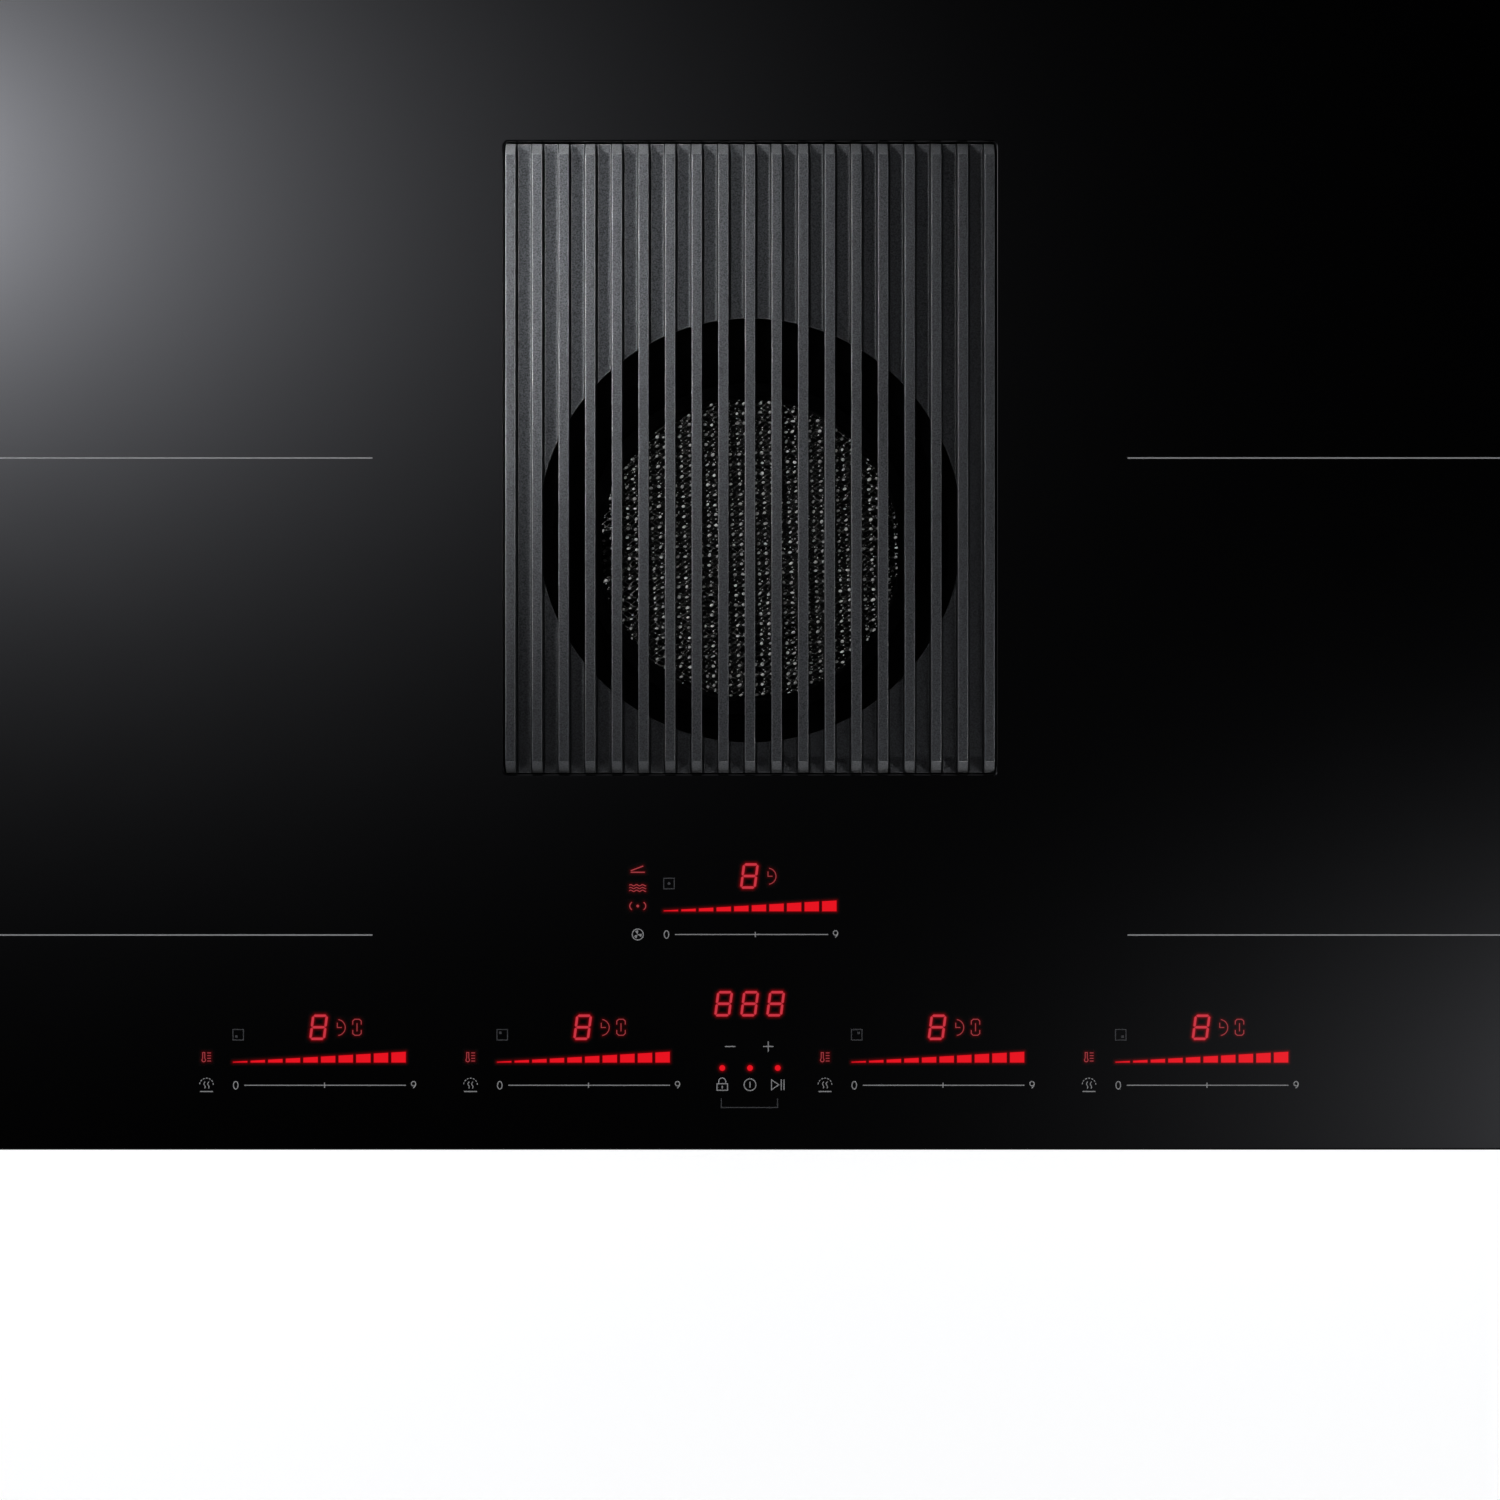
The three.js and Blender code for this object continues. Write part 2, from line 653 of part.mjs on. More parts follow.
// Box that hangs under the tray, open below, with a hole for the gland in its left side.
function terminalBox() {
  const walls = 2 * TERMINAL_WALL;
  const glandHole = drumAlongX(6.3, -60, -40, 20);
  const halfWidth = TERMINAL_WINDOW_WIDTH / 2;
  const halfDepth = TERMINAL_WINDOW_DEPTH / 2;
  return cut(
    prism(roundedRectangle(TERMINAL_BOX_WIDTH, TERMINAL_BOX_DEPTH, 5), -TERMINAL_BOX_HEIGHT, 0),
    prism(
      roundedRectangle(TERMINAL_BOX_WIDTH - walls, TERMINAL_BOX_DEPTH - walls, 3),
      -TERMINAL_BOX_HEIGHT - 1,
      -TERMINAL_WALL,
    ),
    block(-halfWidth, halfWidth, -halfDepth, halfDepth, -4, 1),
    glandHole.translate([0, 0, -TERMINAL_BOX_HEIGHT / 2]),
  );
}

function terminalBlock() {
  const body = block(-36, 36, -9, 9, -18, -2.8);
  const centres = range(TERMINAL_WAYS).map(
    (way) => (way - (TERMINAL_WAYS - 1) / 2) * TERMINAL_PITCH,
  );
  const ways = centres.map((x) => block(x - 4, x + 4, -10, -4, -16, -8));
  const screws = centres.map((x) => drum(2.6, -19, -14, 10).translate([x, 3, 0]));
  return cut(body, ...ways, ...screws);
}

// Snap-in lid, hinged along its front edge, with a catch at the back.
function terminalCover() {
  const plate = roundedRectangle(TERMINAL_BOX_WIDTH, TERMINAL_BOX_DEPTH, 5);
  const half = CATCH_WIDTH / 2;
  const back = TERMINAL_BOX_DEPTH / 2;
  const catchTab = block(-half, half, back - 3, back + 3, -COVER_THICKNESS, 0);
  return join(prism(plate, -COVER_THICKNESS, 0), catchTab);
}

// Screwed gland that grips the mains cable, turned about X.
function cableGland() {
  const body = join(
    drumAlongX(10, -3.2, 0, 6),
    drumAlongX(6, -0.1, 5.4, 20),
    drumAlongX(8.4, -17, -3, 20),
  );
  return cut(body, drumAlongX(4.5, -20, 8, 20));
}

piece(terminalGroup, "terminal_box", terminalBox(), blackPlastic);
piece(terminalGroup, "terminal_block", terminalBlock(), greyPlastic);
const coverZ = -TERMINAL_BOX_HEIGHT - GAP;
piece(terminalGroup, "terminal_cover", terminalCover(), blackPlastic, 0, 0, coverZ);
const glandX = -TERMINAL_BOX_WIDTH / 2 - GAP;
piece(
  terminalGroup,
  "cable_gland",
  cableGland(),
  blackPlastic,
  glandX,
  0,
  -TERMINAL_BOX_HEIGHT / 2,
);

// ---------------------------------------------------------------- cooking zones
// Each side has an aluminium bridge with two coils on it, and its power board, heatsink
// and cooling fan in the space beneath.

const BRIDGE_TOP = 192.2;
const BRIDGE_WIDTH = 222;
const BRIDGE_DEPTH = 392;
const BRIDGE_SHEET = 1.5;
const COIL_WIDTH = 196;
const COIL_DEPTH = 178;
const COIL_THICKNESS = 6;
const EYE_WIDTH = 56; // opening in the middle of the winding
const EYE_DEPTH = 40;
const FORMER_HEIGHT = 6;
const FERRITE_HEIGHT = 4;
const FERRITE_LENGTH = 160;
const FERRITE_WIDTH = 10;
const SENSOR_BORE = 8;
const SENSOR_FLANGE = 10.5;
const MICA_THICKNESS = 0.6;
const BOARD_THICKNESS = 1.6;
const BOARD_STANDOFF = 4;
const POWER_BOARD_WIDTH = 180;
const HEATSINK_WIDTH = 150;
const HEATSINK_DEPTH = 44;
const HEATSINK_HEIGHT = 30;
const HEATSINK_BASE = 5;
const FIN_COUNT = 13;
const FIN_PITCH = 12;
const FIN_THICKNESS = 2;

function coilBridge() {
  const height = BRIDGE_TOP - TRAY_FLOOR - GAP;
  const section = outline([
    [-BRIDGE_WIDTH / 2, 0],
    [-BRIDGE_WIDTH / 2 + BRIDGE_SHEET, 0],
    [-BRIDGE_WIDTH / 2 + BRIDGE_SHEET, height - BRIDGE_SHEET],
    [BRIDGE_WIDTH / 2 - BRIDGE_SHEET, height - BRIDGE_SHEET],
    [BRIDGE_WIDTH / 2 - BRIDGE_SHEET, 0],
    [BRIDGE_WIDTH / 2, 0],
    [BRIDGE_WIDTH / 2, height],
    [-BRIDGE_WIDTH / 2, height],
  ]);
  const bridge = prismAlongY(section, -BRIDGE_DEPTH / 2, BRIDGE_DEPTH / 2);
  const sensorHoles = [-1, 1].map((end) =>
    drum(SENSOR_BORE, height - 3, height + 1, 16).translate([0, (end * ZONE_DEPTH) / 2, 0]),
  );
  return cut(bridge, ...sensorHoles);
}

// Moulded carrier with eight ferrite bars beneath and a bore for the sensor.
function coilFormer() {
  const plateOutline = roundedRectangle(COIL_WIDTH + 4, COIL_DEPTH + 4, 30);
  const plate = prism(plateOutline, FERRITE_HEIGHT, FORMER_HEIGHT);
  const half = FERRITE_LENGTH / 2;
  const side = FERRITE_WIDTH / 2;
  const bars = range(4).map((index) =>
    block(-half, half, -side, side, 0, FERRITE_HEIGHT + 0.1).rotate([0, 0, index * 45 + 22.5]),
  );
  return cut(join(plate, ...bars), drum(SENSOR_BORE, -1, FORMER_HEIGHT + 1, 16));
}

// The flat litz winding, as one pancake with a round-cornered eye.
function coilWinding() {
  return frameRing(COIL_WIDTH, COIL_DEPTH, 28, EYE_WIDTH, EYE_DEPTH, 12, 0, COIL_THICKNESS);
}

// Sprung probe that stands in the eye of the winding and touches the glass.
function temperatureSensor() {
  const glass = GLASS_UNDERSIDE - BRIDGE_TOP - 2 * GAP;
  const flange = drum(SENSOR_FLANGE, FORMER_HEIGHT + GAP, 7.6, 20);
  const probe = drum(5, 7.5, glass, 16);
  const stem = drum(3, -3, FORMER_HEIGHT + 0.4, 12);
  return join(flange, probe, stem);
}

function micaSheet() {
  const sheetOutline = roundedRectangle(BRIDGE_WIDTH - 4, BRIDGE_DEPTH - 4, 6, 2);
  const sheet = prism(sheetOutline, 0, MICA_THICKNESS);
  const holes = [-1, 1].map((end) =>
    drum(SENSOR_BORE + 1, -1, 2, 16).translate([0, (end * ZONE_DEPTH) / 2, 0]),
  );
  return cut(sheet, ...holes);
}

function powerBoard() {
  const half = POWER_BOARD_WIDTH / 2;
  const boardTop = BOARD_STANDOFF + BOARD_THICKNESS;
  const foot = boardTop - 0.1;
  const board = block(-half, half, -70, 100, BOARD_STANDOFF, boardTop);
  const standoffs = [
    [-84, -64],
    [84, -64],
    [-84, 94],
    [84, 94],
  ].map(([x, y]) => drum(3, 0, BOARD_STANDOFF + 0.1, 8).translate([x, y, 0]));
  const capacitors = [-60, -30].map((x) => block(x - 12, x + 12, -60, -28, foot, 30));
  const chokes = [10, 50].map((x) => drum(14, foot, 26, 16).translate([x, -45, 0]));
  const relays = [-70, -48].map((x) => block(x - 8, x + 8, 70, 92, foot, 22));
  return join(board, ...standoffs, ...capacitors, ...chokes, ...relays);
}

function heatsink() {
  const half = HEATSINK_WIDTH / 2;
  const back = HEATSINK_DEPTH / 2;
  const side = FIN_THICKNESS / 2;
  const base = block(-half, half, -back, back, 0, HEATSINK_BASE);
  const fins = range(FIN_COUNT).map((index) => {
    const x = (index - (FIN_COUNT - 1) / 2) * FIN_PITCH;
    return block(x - side, x + side, -back, back, HEATSINK_BASE - 0.1, HEATSINK_HEIGHT);
  });
  return join(base, ...fins);
}

function coolingFanFrame() {
  const half = FAN_SIZE / 2;
  const body = cut(
    prism(roundedRectangle(FAN_SIZE, FAN_SIZE, 5, 2), 0, FAN_THICKNESS),
    drum(half - 2, -1, FAN_THICKNESS + 1, 32),
  );
  const struts = range(2).map((index) =>
    block(-half + 1, half - 1, -1.5, 1.5, FAN_THICKNESS - 2, FAN_THICKNESS).rotate([
      0,
      0,
      index * 90 + 45,
    ]),
  );
  return join(body, drum(14, FAN_THICKNESS - 4, FAN_THICKNESS, 20), ...struts);
}

function coolingFanRotor() {
  const hub = drum(15, 2, FAN_THICKNESS - 5, 20);
  const blades = range(7).map((index) =>
    block(12, 36.5, -0.8, 0.8, -10, 10)
      .rotate([40, 0, 0])
      .translate([0, 0, FAN_THICKNESS / 2 - 1.5])
      .rotate([0, 0, (index * 360) / 7]),
  );
  return join(hub, ...blades);
}

for (const [side, name] of [
  [-1, "left"],
  [1, "right"],
]) {
  const module = group(cooktop, side * ZONE_CENTRE_X, ZONES_CENTRE_Y, 0);
  piece(module, "coil_bridge_" + name, coilBridge(), aluminium, 0, 0, TRAY_FLOOR + GAP);
  for (const [end, row] of [
    [-1, "front"],
    [1, "rear"],
  ]) {
    const place = group(module, 0, (end * ZONE_DEPTH) / 2, BRIDGE_TOP + GAP);
    const zone = row + "_" + name;
    piece(place, "coil_former_" + zone, coilFormer(), greyPlastic);
    piece(place, "coil_winding_" + zone, coilWinding(), copper, 0, 0, FORMER_HEIGHT + GAP);
    piece(place, "temperature_sensor_" + zone, temperatureSensor(), steelBright);
  }
  const micaZ = GLASS_UNDERSIDE - GAP - MICA_THICKNESS;
  piece(module, "mica_sheet_" + name, micaSheet(), mica, 0, 0, micaZ);
  const floor = TRAY_FLOOR + GAP;
  piece(module, "power_board_" + name, powerBoard(), circuitGreen, 0, 15, floor);
  const heatsinkZ = floor + BOARD_STANDOFF + BOARD_THICKNESS + GAP;
  piece(module, "heatsink_" + name, heatsink(), aluminium, 0, 45, heatsinkZ);
  piece(module, "fan_frame_" + name, coolingFanFrame(), blackPlastic, 0, FAN_Y, floor);
  piece(module, "fan_rotor_" + name, coolingFanRotor(), blackPlastic, 0, FAN_Y, floor);
}

// ---------------------------------------------------------------- touch controls

const controlGroup = group(cooktop, 0, -GLASS_DEPTH / 2, 0);

const CONTROL_WIDTH = 484;
const CONTROL_FRONT = 18; // behind the front edge of the glass
const CONTROL_SHOULDER = 72;
const CONTROL_BACK = 120;
const DISH_BOTTOM = 190;
const DISH_TOP = 203;
const DISH_WALL = 2;
const CONTROL_BOARD_Z = 198;
const LIGHT_BOX_TOP = 205.4;

// A T-shaped outline: the zone sliders along the front, and the extractor's behind them.
function controlOutline(inset) {
  const half = CONTROL_WIDTH / 2 - inset;
  const front = CONTROL_FRONT + inset;
  const shoulder = CONTROL_SHOULDER - inset;
  const back = CONTROL_BACK - inset;
  return outline([
    [-half, front],
    [half, front],
    [half, shoulder],
    [48 - inset, shoulder],
    [48 - inset, back],
    [-56 + inset, back],
    [-56 + inset, shoulder],
    [-half, shoulder],
  ]);
}

// Shallow moulded dish on legs that stand on the floor of the steel tray.
function controlBracket() {
  const dish = cut(
    prism(controlOutline(0), DISH_BOTTOM, DISH_TOP),
    prism(controlOutline(DISH_WALL), DISH_BOTTOM + DISH_WALL, DISH_TOP + 1),
  );
  const feet = [
    [-225, 30],
    [-225, 60],
    [0, 30],
    [0, 110],
    [225, 30],
    [225, 60],
  ].map(([x, y]) => block(x - 4, x + 4, y - 4, y + 4, TRAY_FLOOR + GAP, DISH_BOTTOM + 0.1));
  return join(dish, ...feet);
}

// Circuit board with a light box under each display.
function controlBoard() {
  const boardTop = CONTROL_BOARD_Z + BOARD_THICKNESS;
  const pegBottom = DISH_BOTTOM + DISH_WALL + GAP;
  const lightBox = (x0, x1, y0, y1) => block(x0, x1, y0, y1, boardTop - 0.1, LIGHT_BOX_TOP);
  const board = prism(controlOutline(DISH_WALL + 0.5), CONTROL_BOARD_Z, boardTop);
  const pegs = [-220, -60, 60, 220].map((x) =>
    drum(3, pegBottom, CONTROL_BOARD_Z + 0.1, 8).translate([x, 45, 0]),
  );
  const zoneDisplays = [-172, -67, 75, 180].map((x) => lightBox(x - 34, x + 34, 34, 58));
  const timerDisplay = lightBox(-16, 16, 26, 66);
  const extractorDisplay = lightBox(-52, 40, 90, 116);
  return join(board, ...pegs, ...zoneDisplays, timerDisplay, extractorDisplay);
}

piece(controlGroup, "control_bracket", controlBracket(), blackPlastic);
piece(controlGroup, "control_board", controlBoard(), circuitGreen);

function mainsBoard() {
  const standoff = 3;
  const boardTop = standoff + BOARD_THICKNESS;
  const board = block(-100, 100, -28, 28, standoff, boardTop);
  const feet = [-94, 94].flatMap((x) =>
    [-22, 22].map((y) => drum(3, 0, standoff + 0.1, 8).translate([x, y, 0])),
  );
  const choke = drum(16, boardTop - 0.1, 30, 16).translate([-50, 0, 0]);
  const filmCapacitors = [0, 36].map((x) =>
    block(x - 13, x + 13, -11, 11, boardTop - 0.1, 28),
  );
  return join(board, ...feet, choke, ...filmCapacitors);
}

piece(cooktop, "mains_board", mainsBoard(), circuitGreen, 0, 203, TRAY_FLOOR + GAP);

// ---------------------------------------------------------------- extractor housing

// Open-topped tub. A partition and two baffles leave the air only one way on from the
// throat: sideways through the cassettes, and back to the two inlets of the blower.
function housingShell() {
  const depth = HOUSING_BACK - HOUSING_FRONT;
  const centreY = (HOUSING_BACK + HOUSING_FRONT) / 2;
  const wall = HOUSING_WALL;
  const shell = cut(
    prism(roundedRectangle(HOUSING_WIDTH, depth, HOUSING_CORNER, 5), 0, HOUSING_TOP),
    prism(
      roundedRectangle(HOUSING_WIDTH - 2 * wall, depth - 2 * wall, HOUSING_CORNER - wall, 5),
      wall,
      HOUSING_TOP + 1,
    ),
  ).translate([0, centreY, 0]);
  const rails = [-1, 1].map((side) => {
    const x = side * CASSETTE_X;
    const half = CASSETTE_THICKNESS / 2 + 2;
    return block(x - half, x + half, HOUSING_FRONT + 1, 46, 1, CASSETTE_BOTTOM - GAP);
  });
  const baffleTop = HOUSING_TOP - 0.5;
  const partitionBack = PARTITION_Y + wall;
  const partition = block(
    -PARTITION_HALF,
    PARTITION_HALF,
    PARTITION_Y,
    partitionBack,
    1,
    baffleTop,
  );
  const baffles = [-1, 1].map((side) => {
    const x = side * CASSETTE_X;
    const bottom = CASSETTE_BOTTOM + CASSETTE_HEIGHT + 2;
    const front = HOUSING_FRONT + 1;
    return block(x - wall / 2, x + wall / 2, front, PARTITION_Y + 1, bottom, baffleTop);
  });
  const ribs = [-1, 1].flatMap((side) =>
    [-100, -40, 20].map((y) => {
      const x = (side * HOUSING_WIDTH) / 2;
      return block(x - 1.8, x + 1.8, y - 1.5, y + 1.5, 6, HOUSING_TOP - 6);
    }),
  );
  const front = [HOUSING_FRONT - 1, HOUSING_FRONT + wall + 0.5];
  const dripSlot = block(
    -DRIP_WIDTH / 2 - 1,
    DRIP_WIDTH / 2 + 1,
    ...front,
    wall,
    wall + GAP + DRIP_HEIGHT + 1,
  );
  const cassetteSlots = [-1, 1].map((side) => {
    const x = side * CASSETTE_X;
    const half = CASSETTE_THICKNESS / 2 + 1;
    const top = CASSETTE_BOTTOM + CASSETTE_HEIGHT + 1;
    return block(x - half, x + half, ...front, CASSETTE_BOTTOM - 1, top);
  });
  const outletHole = block(
    -BLOWER_WIDTH / 2 + SCROLL_WALL,
    BLOWER_WIDTH / 2 - SCROLL_WALL,
    HOUSING_BACK - wall - 1,
    HOUSING_BACK + 1,
    OUTLET_BOTTOM + 2,
    OUTLET_TOP - 2,
  );
  const walls = join(shell, partition, ...rails, ...baffles, ...ribs);
  return cut(walls, dripSlot, ...cassetteSlots, outletHole);
}

function housingLid() {
  const depth = HOUSING_BACK - HOUSING_FRONT;
  const centreY = (HOUSING_BACK + HOUSING_FRONT) / 2;
  const edge = roundedRectangle(HOUSING_WIDTH + 8, depth + 4, HOUSING_CORNER + 2, 5);
  const sheet = prism(edge, 0, LID_THICKNESS).translate([0, centreY, 0]);
  const hole = drum(THROAT_OPENING, -1, LID_THICKNESS + 1, 48);
  return cut(sheet, hole.translate([0, THROAT_Y, 0]));
}

piece(cooktop, "extractor_housing", housingShell(), blackPlastic);
piece(cooktop, "housing_lid", housingLid(), zincSteel, 0, 0, LID_TOP - LID_THICKNESS);

// Open basin under the throat, with a pull along its front.
function dripTray() {
  const half = DRIP_WIDTH / 2;
  const wall = 2;
  const basin = cut(
    block(-half, half, HOUSING_FRONT - 1, DRIP_BACK, 0, DRIP_HEIGHT),
    block(-half + wall, half - wall, HOUSING_FRONT + 1, DRIP_BACK - wall, wall, DRIP_HEIGHT + 1),
  );
  const face = HOUSING_FRONT - GAP;
  const pullFront = face - PULL_REACH;
  const panel = block(-half - 6, half + 6, face - 3, face, 0, DRIP_HEIGHT + 6);
  const pull = block(-34, 34, pullFront, face - 2.9, DRIP_HEIGHT - 3, DRIP_HEIGHT);
  const lip = block(-34, 34, pullFront, pullFront + 2.5, DRIP_HEIGHT - 9, DRIP_HEIGHT - 2.9);
  return join(basin, panel, pull, lip);
}

piece(cooktop, "drip_tray", dripTray(), greyPlastic, 0, 0, HOUSING_WALL + GAP);

// Charcoal cassette: a framed block with recessed windows on both faces.
function odourCassette() {
  const half = CASSETTE_THICKNESS / 2;
  const body = block(-half, half, HOUSING_FRONT - 1, CASSETTE_BACK, 0, CASSETTE_HEIGHT);
  const windows = range(CASSETTE_WINDOWS).flatMap((index) => {
    const front = HOUSING_FRONT + 8 + index * CASSETTE_WINDOW_PITCH;
    const recess = half - CASSETTE_RECESS;
    return [
      block(-half - 1, -recess, front, front + 24, 8, CASSETTE_HEIGHT - 8),
      block(recess, half + 1, front, front + 24, 8, CASSETTE_HEIGHT - 8),
    ];
  });
  const face = HOUSING_FRONT - GAP;
  const panel = block(-half - 5, half + 5, face - 3, face, -4, CASSETTE_HEIGHT + 4);
  const pull = block(-4, 4, face - PULL_REACH, face - 2.9, 24, CASSETTE_HEIGHT - 24);
  return join(cut(body, ...windows), panel, pull);
}

for (const [side, name] of [
  [-1, "left"],
  [1, "right"],
]) {
  const x = side * CASSETTE_X;
  piece(cooktop, "odour_cassette_" + name, odourCassette(), charcoal, x, 0, CASSETTE_BOTTOM);
}

// ---------------------------------------------------------------- blower
// Double-inlet centrifugal blower, its axis along X, that throws the air out at the back.

const blowerGroup = group(cooktop, 0, BLOWER_Y, BLOWER_Z);

// The volute in the YZ plane: a spiral from the tongue over the top and the front to the
// bottom, then straight back to the outlet.
function volute(offset, outletY) {
  const tongueAngle = 0.33;
  const endAngle = 1.5 * Math.PI;
  const steps = 30;
  const spiral = range(steps + 1).map((step) => {
    const turn = step / steps;
    const angle = tongueAngle + (endAngle - tongueAngle) * turn;
    const radius = 58 + 9 * turn + offset;
    return new THREE.Vector2(radius * Math.cos(angle), radius * Math.sin(angle));
  });
  const bottom = OUTLET_BOTTOM - BLOWER_Z - offset;
  const top = OUTLET_TOP - BLOWER_Z + offset;
  return [
    ...spiral,
    new THREE.Vector2(outletY, bottom),
    new THREE.Vector2(outletY, top),
  ];
}

function scrollHalf(side) {
  const outletY = HOUSING_BACK - HOUSING_WALL - GAP - BLOWER_Y;
  const half = BLOWER_WIDTH / 2;
  const shell = cut(
    prismAlongX(volute(SCROLL_WALL, outletY), GAP / 2, half),
    prismAlongX(volute(0, outletY + 1), -1, half - SCROLL_WALL),
    drumAlongX(INLET_RADIUS, half - 3, half + 1, 40),
  );
  return side > 0 ? shell : shell.mirror([1, 0, 0]);
}

function impeller() {
  const half = IMPELLER_WIDTH / 2;
  const shaftBore = drumAlongX(SHAFT_RADIUS + GAP, -9, 9, 16);
  const hub = drumAlongX(10, -7, 7, 20);
  const disc = drumAlongX(IMPELLER_RADIUS, -1.5, 1.5, 40);
  const ends = [-half, half - 2].map((x) =>
    cut(
      drumAlongX(IMPELLER_RADIUS, x, x + 2, 40),
      drumAlongX(IMPELLER_RADIUS - 11, x - 1, x + 3, 40),
    ),
  );
  const blades = range(BLADE_COUNT).map((index) =>
    block(-half + 0.5, half - 0.5, -0.6, 0.6, -5.2, 5.2)
      .rotate([38, 0, 0])
      .translate([0, 0, IMPELLER_RADIUS - 5.6])
      .rotate([(index * 360) / BLADE_COUNT, 0, 0]),
  );
  return cut(join(hub, disc, ...ends, ...blades), shaftBore);
}

function motorBody() {
  const can = join(drumAlongX(MOTOR_RADIUS, -86, -12, 28), drumAlongX(12, -100, -85.9, 16));
  return cut(can, drumAlongX(SHAFT_RADIUS + 0.5, -90, 0, 16));
}

// Three-armed spider that holds the motor in the left inlet.
function motorBracket() {
  const plate = drumAlongX(18, -3, 0, 20);
  const arms = range(3).map((index) =>
    block(-3, 0, -5, 5, 10, 56).rotate([index * 120, 0, 0]),
  );
  return join(plate, ...arms);
}

piece(blowerGroup, "scroll_left", scrollHalf(-1), blackPlastic);
piece(blowerGroup, "scroll_right", scrollHalf(1), blackPlastic);
piece(blowerGroup, "impeller", impeller(), greyPlastic);
piece(blowerGroup, "motor_shaft", drumAlongX(SHAFT_RADIUS, -89, 9, 16), steelBright);
piece(blowerGroup, "motor_body", motorBody(), zincSteel);
piece(blowerGroup, "motor_bracket", motorBracket(), zincSteel, -BLOWER_WIDTH / 2 - GAP);

// ---------------------------------------------------------------- outlet and driver

function outletSpigot() {
  const front = HOUSING_BACK + GAP;
  const wall = 2.5;
  const tube = (width, height, from, to) =>
    block(
      -width / 2,
      width / 2,
      from,
      to,
      SPIGOT_CENTRE_Z - height / 2,
      SPIGOT_CENTRE_Z + height / 2,
    );
  return cut(
    join(
      tube(SPIGOT_WIDTH, SPIGOT_HEIGHT, front, SPIGOT_BACK),
      tube(SPIGOT_WIDTH + 14, SPIGOT_HEIGHT + 8, front, front + wall),
    ),
    tube(SPIGOT_WIDTH - 2 * wall, SPIGOT_HEIGHT - 2 * wall, front - 1, SPIGOT_BACK + 1),
  );
}

// Flat box beside the housing, with a lid and two ears on a strap that screw to its wall.
function blowerDriver() {
  const x = HOUSING_WIDTH / 2 + GAP;
  const depth = 28;
  const lidOver = 2;
  const strap = 2.5;
  const [front, back, bottom, top] = [60, 180, 30, 110];
  const box = block(x, x + depth, front, back, bottom, top);
  const lid = block(
    x + depth - 0.1,
    x + depth + lidOver,
    front - lidOver,
    back + lidOver,
    bottom - lidOver,
    top + lidOver,
  );
  const ears = [40, 200].map((y) => block(x, x + strap, y - 12, y + 12, 60, 80));
  const bridge = block(x, x + strap, 30, 210, 62, 78);
  return join(box, lid, bridge, ...ears);
}

piece(cooktop, "outlet_spigot", outletSpigot(), blackPlastic);
piece(cooktop, "blower_driver", blowerDriver(), greyPlastic);

export default cooktop;
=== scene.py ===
# A built-in induction cooktop with a downdraft extractor, seen straight from above.
# Metres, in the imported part's own frame: +Z up, and the cook stands on the -Y side.
import math

import bmesh
import bpy
from mathutils import Matrix, Vector, noise
from mathutils.kdtree import KDTree


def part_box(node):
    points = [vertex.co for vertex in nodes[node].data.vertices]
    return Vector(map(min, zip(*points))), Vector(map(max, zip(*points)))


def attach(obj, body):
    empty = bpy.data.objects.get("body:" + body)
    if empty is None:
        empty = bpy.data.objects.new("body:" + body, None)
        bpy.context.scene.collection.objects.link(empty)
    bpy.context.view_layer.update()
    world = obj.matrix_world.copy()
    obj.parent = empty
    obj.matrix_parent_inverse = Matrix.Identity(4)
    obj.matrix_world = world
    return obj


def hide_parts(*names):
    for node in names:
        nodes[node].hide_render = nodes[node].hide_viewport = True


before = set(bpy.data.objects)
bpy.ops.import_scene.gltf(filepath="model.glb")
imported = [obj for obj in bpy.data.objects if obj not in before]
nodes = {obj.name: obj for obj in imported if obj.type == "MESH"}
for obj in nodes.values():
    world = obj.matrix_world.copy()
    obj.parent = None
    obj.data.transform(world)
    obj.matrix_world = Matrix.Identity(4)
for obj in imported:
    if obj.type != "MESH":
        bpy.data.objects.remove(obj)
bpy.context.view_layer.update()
MM = 0.001

# ---------------------------------------------------------------- camera
# The photograph looks straight down from 2.5 m above the glass. 600 mm of the glass fill
# the width of the picture, and the front edge lies 160 mm below its middle.
VIEW_HEIGHT = 2500 * MM
VIEW_Y = -97.5 * MM
camera_data = bpy.data.cameras.new("camera")
camera_data.sensor_width = 36
camera_data.lens = 150
camera_data.clip_end = 30
camera = bpy.data.objects.new("camera", camera_data)
camera.location = (0, VIEW_Y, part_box("glass_top")[1].z + VIEW_HEIGHT)
bpy.context.collection.objects.link(camera)
bpy.context.scene.camera = camera
bpy.context.scene.view_settings.view_transform = "Standard"

# ---------------------------------------------------------------- studio
# A pale dome, dark overhead as under a black flag, with two soft glows near the zenith
# that the glass mirrors: one at the rear left, a weaker one at the front right. Small
# lamps with grids light the grille alone, most of all its rear left, and two the mesh.
world = bpy.data.worlds.new("studio")
bpy.context.scene.world = world
world.use_nodes = True
sky = world.node_tree
sky.nodes.clear()
sky_output = sky.nodes.new("ShaderNodeOutputWorld")
background = sky.nodes.new("ShaderNodeBackground")
direction = sky.nodes.new("ShaderNodeTexCoord")
split = sky.nodes.new("ShaderNodeSeparateXYZ")
sky.links.new(direction.outputs["Generated"], split.inputs[0])


